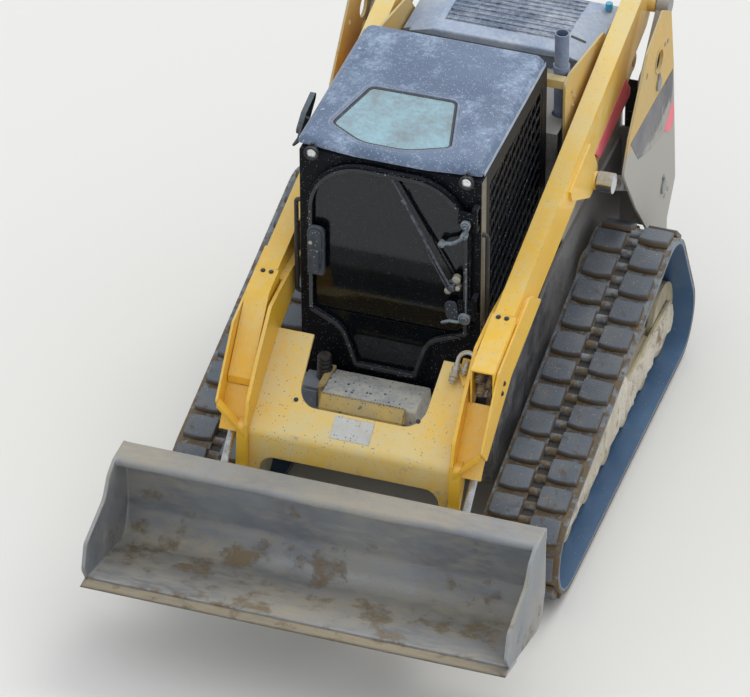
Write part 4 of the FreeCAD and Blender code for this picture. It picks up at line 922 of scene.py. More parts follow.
tread = {
    "wheels": ((-0.270, 0.250, 0.250), (1.340, 0.610, 0.290), (1.570, 0.250, 0.250)),
    "lugHeight": 0.034, "beltThick": 0.026, "lugCount": 32, "lugLong": 0.124, "barLong": 0.044, "pocket": 0.016,
    "edge": (0.565, 0.965), "innerColumn": (0.588, 0.735), "outerColumn": (0.795, 0.942), "steps": 10,
}


def loopPoints(inset):
    # The belt's side view, as points in the machine's middle plane, at an inset from the lug tips
    wheels = tread["wheels"]
    runs = []
    for (y0, z0, r0), (y1, z1, r1) in zip(wheels, wheels[1:] + wheels[:1]):
        heading = math.atan2(z1 - z0, y1 - y0)
        runs.append(heading + math.acos((r0 - r1) / math.hypot(y1 - y0, z1 - z0)))
    points = []
    for i, (y, z, r) in enumerate(wheels):
        first, last = runs[i - 1], runs[i]
        while last > first:
            last -= math.tau
        for k in range(tread["steps"] + 1):
            a = first + (last - first) * k / tread["steps"]
            points.append(at(0, y + (r - inset) * math.cos(a), z + (r - inset) * math.sin(a)))
    return points[tread["steps"]:] + points[:tread["steps"]]


def makeLoop(inset):
    mesh = bpy.data.meshes.new("trackLine")
    points = loopPoints(inset)
    mesh.from_pydata(points, [(i, (i + 1) % len(points)) for i in range(len(points))], [])
    line = bpy.data.objects.new("trackLine", mesh)
    bpy.context.scene.collection.objects.link(line)
    return line


def makeBand(x0, x1, outer, inner):
    shape = bmesh.new()
    rings = [[shape.verts.new(p + Vector((x, 0, 0))) for p in line]
             for x, line in ((x0, outer), (x1, outer), (x1, inner), (x0, inner))]
    count = len(outer)
    for first, second in zip(rings, rings[1:] + rings[:1]):
        for i in range(count):
            j = (i + 1) % count
            shape.faces.new([first[i], first[j], second[j], second[i]])
    bmesh.ops.recalc_face_normals(shape, faces=shape.faces)
    mesh = bpy.data.meshes.new("band")
    shape.to_mesh(mesh)
    shape.free()
    return mesh


def makeLugUnit(x0, x1):
    # One rubber lug: a block that narrows upwards, its working edges bowed, mud round its foot
    half, high = tread["lugLong"] / 2, tread["lugHeight"]
    shape = bmesh.new()
    grime = shape.verts.layers.float.new("grime")
    rows = ((0.0, 0.0, -0.004, 1.0), (high * 0.45, 0.001, -0.003, 0.9), (high * 0.84, 0.002, -0.001, 0.2),
            (high * 0.96, 0.004, 0.002, 0.0), (high, 0.009, 0.007, 0.0))
    columns = 5
    rings = []
    for z, sideIn, endIn, dirt in rows:
        ring = []
        for sign, bow in ((-1, 0.010), (1, 0.006)):
            for k in range(columns + 1):
                t = k / columns if sign < 0 else 1 - k / columns
                place = (x0 + sideIn + (x1 - x0 - 2 * sideIn) * t,
                         sign * (half - endIn - bow * (1 - math.sin(math.pi * t))), z)
                corner = shape.verts.new(place)
                corner[grime] = dirt
                ring.append(corner)
        rings.append(ring)
    for first, second in zip(rings, rings[1:]):
        for i in range(len(first)):
            j = (i + 1) % len(first)
            shape.faces.new([first[i], first[j], second[j], second[i]])
    shape.faces.new(rings[0][::-1])
    shape.faces.new(rings[-1])
    return shape


def keepInside(mesh):
    # Lug ends are drawn back to the loop's reach where it bends
    front, drive, rear = [(at(0, y, z), r) for y, z, r in tread["wheels"]]
    for corner in mesh.vertices:
        place = corner.co.copy()
        for (centre, radius), bends in ((front, place.y < front[0].y),
                                        (drive, place.y > drive[0].y and place.z > drive[0].z),
                                        (rear, place.y > rear[0].y and place.z < rear[0].z)):
            away = Vector((0, place.y - centre.y, place.z - centre.z))
            if bends and away.length > radius:
                corner.co -= away * (1 - radius / away.length)
        corner.co.z = max(corner.co.z, 0.0)


def makeTreads():
    surface, inside = tread["lugHeight"], tread["lugHeight"] + tread["beltThick"]
    pocket = surface + tread["pocket"]
    line = makeLoop(surface)
    outer, middle, inner = loopPoints(surface), loopPoints(pocket), loopPoints(inside)
    count = tread["lugCount"]
    values = {"Loop": line, "Finish": finishes["belt"]}
    bar = bmesh.new()
    addRod(bar, (tread["innerColumn"][1], 0, -0.012), (tread["outerColumn"][0], 0, -0.012), tread["barLong"] / 2, 14)
    bars = bakeNodes("crossBars", bar, "round", {**values, "Count": 2 * count, "Shift": 0.5})
    bands = [makeBand(tread["edge"][0], tread["innerColumn"][1], outer, middle),
             makeBand(tread["outerColumn"][0], tread["edge"][1], outer, middle), bars]
    lugs = []
    for column, shift in (("innerColumn", 0.0), ("outerColumn", 0.5)):
        lugs.append(bakeNodes(column, makeLugUnit(*tread[column]), "round",
                              {"Loop": line, "Finish": finishes["rubber"], "Count": count, "Shift": shift}))
    bpy.data.objects.remove(line)
    lugMesh = joinMeshes("lugs", lugs)
    keepInside(lugMesh)
    # A thin dark band just over the pocket floor between the lug columns: painted shade in the belt's windows
    deep = loopPoints(pocket - 0.001)
    pieces = {
        "lugs": (lugMesh, "rubber"), "belt": (joinMeshes("belt", bands), "belt"),
        "belt_inner": (makeBand(*tread["edge"], middle, inner), "beltInner"),
        "belt_pocket": (makeBand(tread["innerColumn"][1], tread["outerColumn"][0], deep, middle), "plastic"),
    }
    for part, (mesh, finish) in pieces.items():
        for side, data in (("left", mesh), ("right", mirroredMesh(mesh, part + "Right"))):
            piece = placePiece(part + "_" + side, data, finish, "machine")
            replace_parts(piece, "track_" + side)
    print("treads: belts with lugs and cross bars")


# Cab fittings

cabLook = {
    "doorOutline": ((-0.395, 2.045, 0.28), (0.395, 2.045, 0.28), (0.395, 1.199, 0.04), (0.207, 1.115, 0.11),
                    (0.142, 0.895, 0.035), (-0.172, 0.895, 0.035), (-0.24, 1.1, 0.1), (-0.395, 1.178, 0.04)),
    "front": -0.074, "split": 1.2, "lamp": (0.371, 2.060, 0.036), "latch": (-0.384, -0.300, 1.405, 1.675),
    "wiperPivot": (0.314, 1.484), "wiperTip": (0.024, 2.012), "skylight":
        ((-0.296, 0.06, 0.05), (0.237, 0.06, 0.05), (0.159, 0.43, 0.05), (-0.264, 0.43, 0.05)),
}


def facing(y, points):
    # Front-view (x, z) points as places in a plane at y
    return [at(p[0], y, p[1]) for p in points]


def makeDoorTrim():
    # Seal along the opening's rim, above and below the split
    y = cabLook["front"]
    for name, body, upper in (("door_seal", "door", True), ("sill_seal", "machine", False)):
        shape = bmesh.new()
        outer = roundOutline(insetOutline(cabLook["doorOutline"], 0.012), 10)
        inner = roundOutline(insetOutline(cabLook["doorOutline"], 0.030), 10)
        addRing(shape, facing(y, outer), facing(y, inner), (0, -0.006, 0))
        cut = cabLook["split"] + (0.002 if upper else -0.007)
        bmesh.ops.bisect_plane(shape, geom=shape.verts[:] + shape.edges[:] + shape.faces[:],
                               plane_co=at(0, 0, cut), plane_no=(0, 0, 1), clear_inner=upper,
                               clear_outer=not upper)
        bmesh.ops.holes_fill(shape, edges=[e for e in shape.edges if e.is_boundary], sides=4)
        finishPiece(name, shape, "seal", body, bevel=0.002)


def makeLatch():
    x0, x1, z0, z1 = cabLook["latch"]
    y = cabLook["front"]
    shape = bmesh.new()
    case = roundOutline([(x0, z1, 0.034), (x1, z1, 0.034), (x1, z0, 0.02), (x0, z0, 0.02)], 6)
    addPrism(shape, facing(y, case), (0, -0.022, 0))
    cover = roundOutline([(x0 + 0.012, z1 - 0.012, 0.028), (x1 - 0.012, z1 - 0.012, 0.028),
                          (x1 - 0.012, z0 + 0.09, 0.01), (x0 + 0.012, z0 + 0.09, 0.01)], 6)
    addPrism(shape, facing(y - 0.022, cover), (0, -0.008, 0))
    grip = roundOutline([(x0 + 0.022, z0 + 0.15, 0.008), (x1 - 0.022, z0 + 0.15, 0.008),
                         (x1 - 0.022, z0 + 0.03, 0.008), (x0 + 0.022, z0 + 0.03, 0.008)], 3)
    addPrism(shape, facing(y - 0.022, grip), (0, -0.018, 0))
    piece = finishPiece("door_latch", shape, "latch", "door", bevel=0.004)
    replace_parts(piece, "door_fittings")
    key = bmesh.new()
    addRod(key, at(x0 + 0.02, y - 0.028, z1 - 0.085), at(x0 + 0.02, y - 0.036, z1 - 0.085), 0.010, 16)
    addRod(key, at(x0 + 0.02, y - 0.036, z1 - 0.085), at(x0 + 0.02, y - 0.038, z1 - 0.085), 0.006, 12)
    finishPiece("latch_key", key, "coupler", "door")


def makeWiper():
    y = cabLook["front"]
    (px, pz), (tx, tz) = cabLook["wiperPivot"], cabLook["wiperTip"]
    along = Vector((tx - px, 0, tz - pz))
    aside = along.cross(Vector((0, 1, 0))).normalized()
    base, tip = at(px, y - 0.026, pz), at(tx, y - 0.012, tz)
    knuckle = base + (tip - base) * 0.80
    shape = bmesh.new()
    addRod(shape, at(px, y + 0.010, pz), at(px, y - 0.016, pz), 0.027, 18)
    addRod(shape, at(px, y - 0.016, pz), at(px, y - 0.036, pz), 0.015, 14)
    addTube(shape, [base, base + along * 0.12 + Vector((0, -0.004, 0)), knuckle], 0.0065, 8)
    addTube(shape, [base + aside * 0.02, base + aside * 0.018 + along * 0.3, knuckle - along * 0.3], 0.0035, 8)
    addRod(shape, knuckle - along.normalized() * 0.014, knuckle + along.normalized() * 0.014, 0.010, 10)
    blade = [base + along * t + Vector((0, 0.014 + 0.006 * t, 0)) for t in (0.42, 0.6, 0.8, 1.0)]
    addTube(shape, blade, 0.006, 6)
    addTube(shape, [p + Vector((0, 0.009, 0)) for p in blade], 0.003, 4)
    finishPiece("wiper", shape, "wiper", "door")
    motor = bmesh.new()
    for dx, dz, r, deep in ((0.022, 0.048, 0.021, 0.024), (-0.018, -0.022, 0.017, 0.026), (0.030, 0.004, 0.013, 0.030)):
        addRod(motor, at(px + dx, y + 0.002, pz + dz), at(px + dx, y - deep, pz + dz), r, 16)
        addBolt(motor, at(px + dx, y - deep, pz + dz), (0, -1, 0), r * 0.5, 0.006)
    finishPiece("wiper_motor", motor, "coupler", "door", bevel=0.001)


def makeHingeRods():
    # Cast hinge arms with their bosses and the bright stay between them
    y = cabLook["front"]
    shape = bmesh.new()
    upper = [at(0.392, y - 0.012, 1.845), at(0.378, y - 0.018, 1.80), at(0.352, y - 0.020, 1.757),
             at(0.315, y - 0.018, 1.730), at(0.262, y - 0.008, 1.712)]
    addTube(shape, bentPath(upper, 0.012), 0.010, 10)
    for x, z, r in ((0.378, 1.845, 0.024), (0.262, 1.712, 0.016), (0.374, 1.315, 0.030), (0.372, 1.785, 0.017)):
        addRod(shape, at(x, y + 0.004, z), at(x, y - 0.022, z), r, 18)
        addBolt(shape, at(x, y - 0.022, z), (0, -1, 0), r * 0.55, 0.007)
    lower = [at(0.374, y - 0.010, 1.315), at(0.345, y - 0.014, 1.288), at(0.300, y - 0.012, 1.286),
             at(0.262, y - 0.006, 1.262)]
    addTube(shape, bentPath(lower, 0.012), 0.008, 10)
    addTube(shape, [at(0.381, y - 0.012, 1.335), at(0.380, y - 0.014, 1.60)], 0.006, 10)
    finishPiece("hinge_rods", shape, "hinge", "door", bevel=0.001)
    plate = bmesh.new()
    addPrism(plate, facing(y - 0.002, roundOutline([(0.272, 1.395, 0.03), (0.332, 1.395, 0.02), (0.350, 1.292, 0.02),
                                                    (0.285, 1.292, 0.02)])), (0, -0.006, 0))
    finishPiece("hinge_plate", plate, "latch", "door", bevel=0.002)


def makeLamps():
    x, z, r = cabLook["lamp"]
    housing, glass = bmesh.new(), bmesh.new()
    for side in (1, -1):
        here = Vector((side * x, 0, z))
        addRod(housing, at(here.x, -0.030, z), at(here.x, -0.056, z), r * 0.7, 24, r)
        outer = [at(here.x + r * math.cos(a), -0.056, z + r * math.sin(a)) for a in (math.tau * i / 24 for i in range(24))]
        inner = [at(here.x, -0.056, z) + (p - at(here.x, -0.056, z)) * 0.78 for p in outer]
        addRing(housing, outer, inner, (0, -0.012, 0))
        addBox(housing, at(here.x - 0.008, -0.052, z + r * 0.8), at(here.x + 0.008, -0.040, z + r + 0.012))
        centre = glass.verts.new(at(here.x, -0.058, z))
        ring = [glass.verts.new(at(here.x, -0.0615 - 0.003 * (i % 2), z) + (inner[i * 3] - at(here.x, -0.056, z)))
                for i in range(8)]
        rear = glass.verts.new(at(here.x, -0.056, z))
        for i in range(8):
            j = (i + 1) % 8
            glass.faces.new([centre, ring[i], ring[j]])
            glass.faces.new([rear, ring[j], ring[i]])
    piece = finishPiece("lamp_housings", housing, "plastic", "machine", bevel=0.0015)
    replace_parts(piece, "work_lamps")
    lens = finishPiece("lamp_reflectors", glass, "lamp", "machine", angle=10.0)
    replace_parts(lens, "work_lamps")


def makeRoof():
    # Roof panel with its rain lip, pressed grooves and the bowed skylight
    lip = ((-0.448, -0.026, 0.012), (-0.17, -0.058, 0.4), (0.17, -0.058, 0.4), (0.434, -0.026, 0.012),
           (0.434, 0.955, 0.05), (-0.448, 0.955, 0.05))
    light = ((-0.336, 0.112, 0.045), (-0.160, 0.004, 0.2), (0.060, 0.004, 0.3), (0.250, 0.092, 0.035),
             (0.163, 0.458, 0.04), (-0.256, 0.450, 0.04))
    rows = ((lip, 0.0, 2.084), (lip, 0.0, 2.096), (lip, 0.007, 2.104), (lip, 0.014, 2.114), (lip, 0.024, 2.121),
            (lip, 0.034, 2.1245), (light, -0.020, 2.1264), (light, -0.017, 2.1225), (light, -0.009, 2.1225),
            (light, -0.006, 2.1266),
            (light, 0.0, 2.1266), (light, 0.002, 2.060), (lip, 0.036, 2.060), (lip, 0.036, 2.084))
    shape = bmesh.new()
    loops = [[shape.verts.new(at(p.x, p.y, z)) for p in roundOutline(insetOutline(corners, -gap), 8)]
             for corners, gap, z in rows]
    count = len(loops[0])
    for low, high in zip(loops, loops[1:] + loops[:1]):
        for i in range(count):
            j = (i + 1) % count
            shape.faces.new([low[i], low[j], high[j], high[i]])
    roof = finishPiece("roof_panel", shape, "roof", "machine", angle=50.0)
    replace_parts(roof, "cab_roof")
    pane = bmesh.new()
    addPrism(pane, [at(p.x, p.y, 2.112) for p in roundOutline(insetOutline(light, -0.012), 8)], (0, 0, 0.008))
    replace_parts(finishPiece("skylight_pane", pane, "skylightGlass", "machine", bevel=0.002), "skylight")
    seal = bmesh.new()
    addRing(seal, [at(p.x, p.y, 2.1225) for p in roundOutline(insetOutline(light, -0.002), 8)],
            [at(p.x, p.y, 2.1225) for p in roundOutline(insetOutline(light, -0.014), 8)], (0, 0, -0.012))
    finishPiece("skylight_seal", seal, "seal", "machine", bevel=0.002)
    trim = bmesh.new()
    for x, y in ((0.39, 0.20), (0.39, 0.72), (-0.404, 0.20), (-0.404, 0.72), (0.214, 0.38), (0.34, 0.607)):
        addRod(trim, at(x, y, 2.118), at(x, y, 2.1264), 0.009, 6)
    for side, x in ((1, 0.436), (-1, -0.450)):
        addBox(trim, at(x - side * 0.002, 0.0, 2.070), at(x + side * 0.002, 0.93, 2.092))
    finishPiece("roof_trim", trim, "hood", "machine", bevel=0.001)
    posts = bmesh.new()
    for side in (1, -1):
        addBox(posts, at(side * 0.4345, -0.036, 1.16), at(side * 0.4375, 0.030, 2.052))
    finishPiece("post_faces", posts, "post", "machine", bevel=0.001)


def makeGrabs():
    # Grab rails beside the door and the mirror on its arm
    rails, mirror = bmesh.new(), bmesh.new()
    for side in (1, -1):
        path = [at(side * 0.435, -0.020, 1.760), at(side * 0.461, -0.020, 1.760), at(side * 0.461, -0.020, 1.240),
                at(side * 0.435, -0.020, 1.240)]
        addTube(rails, bentPath(path, 0.02), 0.011, 12)
    addTube(rails, bentPath([at(-0.440, 0.05, 2.066), at(-0.474, -0.020, 2.052), at(-0.490, 0.10, 2.010),
                             at(-0.506, 0.20, 2.020)], 0.02), 0.006, 10)
    addTube(rails, [at(-0.436, 0.22, 2.040), at(-0.506, 0.24, 2.030)], 0.007, 10)
    case = roundOutline([(0.160, 1.990, 0.02), (0.195, 1.965, 0.02), (0.300, 1.985, 0.02), (0.392, 2.052, 0.03),
                         (0.386, 2.078, 0.012), (0.250, 2.050, 0.02)], 5)
    addPrism(mirror, [at(-0.502, p.x, p.y) for p in case], (-0.026, 0, 0))
    piece = finishPiece("grab_rails", rails, "plastic", "machine")
    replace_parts(piece, "handles_and_mirror")
    head = finishPiece("mirror_head", mirror, "latch", "machine", bevel=0.006)
    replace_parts(head, "handles_and_mirror")


def makeCabTrim():
    makeDoorTrim()
    makeLatch()
    makeWiper()
    makeHingeRods()
    makeLamps()
    makeRoof()
    makeGrabs()
    print("cab: latch, wiper, hinges, lamps and roof trim")


# Arm and crossmember fittings

armLook = {
    "coverBolts": ((0.55, -0.128), (0.59, -0.128)), "outerFace": 0.645, "plateScrews": ((-0.332, 1.184), (-0.363, 1.149)),
    "stripe": ((1.15, 1.467), (1.642, 1.575, 0.02), (1.733, 1.467, 0.02), (1.725, 1.425, 0.01), (1.233, 1.383)),
    "tubeFace": 0.620, "towerFace": 0.750,
    "band": ((1.30, 1.45), (2.018, 1.42), (2.024, 1.225), (1.90, 1.13), (1.64, 1.19), (1.44, 1.27)),
    "patch": ((2.026, 1.23), (2.058, 1.15, 0.02), (2.048, 1.075, 0.02), (1.975, 1.075, 0.02), (1.89, 1.137)),
}


def crossSlope(x, y, lift=0.0):
    # A place on the crossmember's sloping face
    z = 1.146 + (y + 0.205) * 0.645
    return at(x, y - lift * 0.542, z + lift * 0.840)


def makeArmBolts():
    shape = bmesh.new()
    for side in (1, -1):
        for x, y in armLook["coverBolts"]:
            z = 1.400 + 0.235 * (y + 0.110)
            addBolt(shape, at(side * x, y, z), (0, -0.228, 0.974), 0.008, 0.006)
        for y, z in armLook["plateScrews"]:
            addBolt(shape, at(side * armLook["outerFace"], y, z), (side, 0, 0), 0.009, 0.007)
    for x, y in ((-0.31, -0.481), (0.278, -0.469)):
        addBolt(shape, crossSlope(x, y), (0, -0.542, 0.840), 0.0075, 0.004)
    finishPiece("arm_bolts", shape, "plastic", "lift_arm")


def makeArmHoses():
    # Fittings and hose ends in the left arm's open front
    fittings, hoses = bmesh.new(), bmesh.new()
    places = ((0.552, -0.395, 1.262, 0.020), (0.598, -0.385, 1.232, 0.017), (0.560, -0.400, 1.190, 0.024),
              (0.602, -0.380, 1.172, 0.016))
    for x, y, z, r in places:
        front, back = at(x, y - 0.030, z - 0.010), at(x, y, z)
        addRod(fittings, back, front, r, 6)
        addRod(fittings, front, front + Vector((0, -0.012, -0.004)), r * 0.7, 14)
        addRod(fittings, back + Vector((0, 0.014, 0.004)), back, r * 1.15, 14)
        addTube(hoses, [back, at(x, y + 0.10, z + 0.035), at(x, y + 0.24, z + 0.075)], r * 0.8, 10)
    addBox(fittings, at(0.527, -0.36, 1.150), at(0.620, -0.345, 1.285))
    finishPiece("arm_fittings", fittings, "wetMud", "lift_arm", bevel=0.001)
    finishPiece("arm_hose_ends", hoses, "hose", "lift_arm")


def makeCouplers():
    # Two quick couplers on a yellow bracket, with a hard line to the arm
    steel, bracket = bmesh.new(), bmesh.new()
    for x, y, size in ((0.390, -0.232, 1.0), (0.432, -0.212, 0.72)):
        back = crossSlope(x, y, 0.034)
        down = (crossSlope(x, y - 0.08, 0.030) - back).normalized()
        stops = ((0.000, 0.020, 6), (0.020, 0.017, 20), (0.034, 0.022, 20), (0.052, 0.017, 20), (0.060, 0.021, 20),
                 (0.070, 0.013, 20))
        for (start, radius, sides), (end, _, _) in zip(stops, stops[1:] + ((0.082, 0, 0),)):
            addRod(steel, back + down * start * size, back + down * end * size, radius * size, sides)
        addRod(steel, back - down * 0.022 * size, back, 0.014 * size, 12)
    plate = [crossSlope(x, y, 0.012) for x, y in ((0.405, -0.185), (0.470, -0.185), (0.470, -0.275), (0.440, -0.300),
                                                  (0.405, -0.255))]
    addPrism(bracket, plate, (0, -0.004, 0.006))
    addRod(bracket, crossSlope(0.440, -0.225, 0.0), crossSlope(0.440, -0.225, 0.014), 0.020, 16)
    line = bentPath([crossSlope(0.390, -0.214, 0.040), crossSlope(0.396, -0.186, 0.062), crossSlope(0.436, -0.170, 0.070),
                     crossSlope(0.486, -0.190, 0.062)], 0.022)
    addTube(steel, line, 0.011, 12)
    piece = finishPiece("couplers", steel, "coupler", "lift_arm", bevel=0.0008)
    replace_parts(piece, "aux_couplers")
    holder = finishPiece("coupler_bracket", bracket, "yellow", "lift_arm", bevel=0.001)
    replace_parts(holder, "aux_couplers")


def makeMarkings():
    # Stripes as thin plates, and the bare place of a badge
    for name, key, face, finish, body in (("arm_stripe", "stripe", "tubeFace", "red", "lift_arm"),
                                          ("tower_band", "band", "towerFace", "band", "machine"),
                                          ("tower_patch", "patch", "towerFace", "red", "machine")):
        shape = bmesh.new()
        outline = roundOutline(armLook[key])
        raised = 0.0012 if name != "tower_patch" else 0.0018
        for side in (1, -1):
            addPrism(shape, [at(side * armLook[face], p.x, p.y) for p in outline], (side * raised, 0, 0))
        finishPiece(name, shape, finish, body)
    plate = bmesh.new()
    addPrism(plate, [crossSlope(x, y) for x, y in ((-0.106, -0.512), (0.084, -0.512), (0.084, -0.606), (-0.106, -0.606))],
             (0, -0.0008, 0.0013))
    finishPiece("blank_plate", plate, "blank", "lift_arm")


def makePinHeads():
    # Pin heads with their keeper plates
    shape = bmesh.new()
    heads = (("machine", 0.750, 1.761, 1.497, 0.036), ("machine", 0.750, 1.900, 0.800, 0.036))
    for side in (1, -1):
        for _, x, y, z, r in heads:
            addRod(shape, at(side * x, y, z), at(side * (x + 0.010), y, z), r, 22)
            addBox(shape, at(side * x, y - 0.012, z + r * 0.7), at(side * (x + 0.006), y + 0.012, z + r + 0.03))
            addBolt(shape, at(side * (x + 0.006), y, z + r + 0.016), (side, 0, 0), 0.008, 0.006)
        for y, z in ((1.960, 0.755), (1.990, 0.725), (1.935, 0.720), (1.8625, 1.66), (1.91, 1.65)):
            addRod(shape, at(side * 0.750, y, z), at(side * 0.7525, y, z), 0.012, 12)
    finishPiece("tower_pins", shape, "cylinder", "machine", bevel=0.001)
    rings = bmesh.new()
    for side in (1, -1):
        outer = [at(side * 0.7495, 1.763 + 0.066 * math.cos(a), 1.629 + 0.066 * math.sin(a))
                 for a in (math.tau * i / 32 for i in range(32))]
        inner = [at(side * 0.7495, 1.763 + 0.056 * math.cos(a), 1.629 + 0.056 * math.sin(a))
                 for a in (math.tau * i / 32 for i in range(32))]
        addRing(rings, outer, inner, (side * 0.005, 0, 0))
        for y, z in ((1.165, 1.79), (1.19, 1.745), (1.165, 1.71)):
            addBolt(rings, at(side * 0.496, y, z), (side, 0, 0), 0.010, 0.008)
    finishPiece("tower_rims", rings, "tower", "machine", bevel=0.001)


def makeTowerShadeSheets():
    # Dark closing sheets low between each tower's plates, painted shade where the floor would show through the gap
    shape = bmesh.new()
    for side in (1, -1):
        addBox(shape, at(side * 0.512, 2.030, 0.960), at(side * 0.738, 2.035, 1.300))
    finishPiece("tower_closers", shape, "plastic", "machine", bevel=0.001)


def makeArmTrim():
    makeArmBolts()
    makeArmHoses()
    makeCouplers()
    makeMarkings()
    makePinHeads()
    makeTowerShadeSheets()
    print("arms: bolts, fittings, couplers, stripes and pins")


# Step and the parts beside it

def makeStep():
    shape = bmesh.new()
    side = roundOutline([(-0.298, 0.642), (-0.298, 0.890, 0.02), (-0.180, 0.896, 0.09), (-0.072, 0.872, 0.03),
                         (-0.062, 0.642)], 8)
    addPrism(shape, [at(-0.250, p.x, p.y) for p in side], (0.460, 0, 0))
    box = finishPiece("step_body", shape, "step", "machine", bevel=0.006)
    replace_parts(box, "step_box")
    ledge = bmesh.new()
    fold = [(-0.300, 0.890), (-0.300, 0.897), (-0.310, 0.897), (-0.352, 0.846), (-0.352, 0.760), (-0.346, 0.760),
            (-0.346, 0.844), (-0.307, 0.889)]
    addPrism(ledge, [at(-0.248, y, z) for y, z in fold], (0.408, 0, 0))
    for x in (-0.248, 0.156):
        addPrism(ledge, [at(x, -0.300, 0.894), at(x, -0.310, 0.894), at(x, -0.350, 0.844), at(x, -0.300, 0.800)],
                 (0.004, 0, 0))
    for i in range(26):
        x = -0.240 + i * 0.0153
        addPrism(ledge, [at(x, -0.310, 0.895), at(x + 0.009, -0.310, 0.895), at(x + 0.0045, -0.310, 0.903)],
                 (0, 0.010, 0))
    grip = finishPiece("step_ledge", ledge, "ledge", "machine", bevel=0.001)
    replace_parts(grip, "step_box")
    boot = bmesh.new()
    for i in range(6):
        z = 0.830 + i * 0.022
        addRod(boot, at(-0.300, -0.105, z), at(-0.300, -0.105, z + 0.011), 0.034 - 0.001 * i, 20, 0.040 - 0.001 * i)
        addRod(boot, at(-0.300, -0.105, z + 0.011), at(-0.300, -0.105, z + 0.022), 0.040 - 0.001 * i, 20, 0.034 - 0.001 * i)
    finishPiece("ribbed_boot", boot, "plastic", "machine")
    plate = bmesh.new()
    addBox(plate, at(-0.392, -0.19, 0.640), at(-0.296, -0.065, 0.828))
    addBox(plate, at(-0.380, -0.20, 0.720), at(-0.308, -0.19, 0.810))
    finishPiece("valve_cover", plate, "stack", "machine", bevel=0.006)
    post = bmesh.new()
    addBox(post, at(-0.292, -0.225, 0.640), at(-0.256, -0.062, 0.880))
    finishPiece("step_post", post, "ledge", "machine", bevel=0.004)
    print("step: body, ledge, boot and cover")


# Hood fittings

def makeHoodTrim():
    # A thin black plate on the lid: painted shade of a slot's opening
    slot = bmesh.new()
    outline = roundOutline([(0.331, 1.680, 0.006), (0.407, 1.680, 0.006), (0.407, 1.698, 0.006), (0.331, 1.698, 0.006)])
    addPrism(slot, [at(p.x, p.y, 1.7352 - (p.x - 0.310) * 0.285) for p in outline], (0.0002, 0, 0.0008))
    finishPiece("hood_slot", slot, "plastic", "hood_lid")
    cap, neck = bmesh.new(), bmesh.new()
    addRod(neck, at(0.428, 2.000, 1.690), at(0.428, 2.000, 1.708), 0.015, 20)
    addRod(cap, at(0.428, 2.000, 1.708), at(0.428, 2.000, 1.742), 0.019, 20, 0.017)
    finishPiece("hood_neck", neck, "coupler", "hood_lid")
    finishPiece("hood_cap", cap, "blue", "hood_lid", bevel=0.002)
    print("hood: slot and cap")


# Mud on the track frames

mudLook = {"crust": 0.0235, "step": 0.028, "heap": 0.05, "ragged": 0.028, "lumps": 0.016,
           "edge": ((-0.345, 0.300), (-0.06, 0.380), (0.40, 0.496), (0.662, 0.496), (0.862, 0.437), (0.930, 0.347),
                    (1.655, 0.312), (1.690, 0.200))}


def topAt(y):
    edge = mudLook["edge"]
    for (y0, z0), (y1, z1) in zip(edge, edge[1:]):
        if y <= y1:
            return z0 + (z1 - z0) * max(0.0, (y - y0) / (y1 - y0))
    return edge[-1][1]


def makeCrust():
    # Dried clay over the frame's side, ragged along its top
    shape = bmesh.new()
    columns = int(2.03 / mudLook["step"])
    rows = 12
    grid = []
    for i in range(columns + 1):
        y = -0.343 + 2.03 * i / columns
        ragged = noise.fractal(Vector((y * 9.0, 1.7, 0.0)), 1.0, 2.0, 4) * mudLook["ragged"]
        top = min(topAt(y) + 0.004, topAt(y) - 0.012 + ragged)
        low = 0.152 + max(0.0, noise.noise(Vector((y * 6.0, 8.1, 0.0)))) * 0.03
        line = []
        for j in range(rows + 1):
            z = low + (top - low) * j / rows
            bump = noise.fractal(Vector((y * 14.0, z * 7.0, 3.0)), 0.9, 2.0, 4)
            flow = noise.noise(Vector((y * 34.0, z * 2.0, 9.0)))
            edge = 0.0 if j in (0, rows) or i in (0, columns) else 1.0
            deep = (0.011 + 0.012 * bump + 0.006 * flow) * edge
            line.append(at(0.8755 + min(mudLook["crust"], max(0.0, deep)), y, z))
        grid.append(line)
    front = [[shape.verts.new(p) for p in line] for line in grid]
    back = [[shape.verts.new(Vector((0.8725, p.y, p.z))) for p in line] for line in grid]
    for i in range(columns):
        for j in range(rows):
            shape.faces.new([front[i][j], front[i + 1][j], front[i + 1][j + 1], front[i][j + 1]])
            shape.faces.new([back[i][j], back[i][j + 1], back[i + 1][j + 1], back[i + 1][j]])
        shape.faces.new([front[i][0], back[i][0], back[i + 1][0], front[i + 1][0]])
        shape.faces.new([front[i][rows], front[i + 1][rows], back[i + 1][rows], back[i][rows]])
    for i in (0, columns):
        for j in range(rows):
            shape.faces.new([front[i][j], front[i][j + 1], back[i][j + 1], back[i][j]])
    return shape


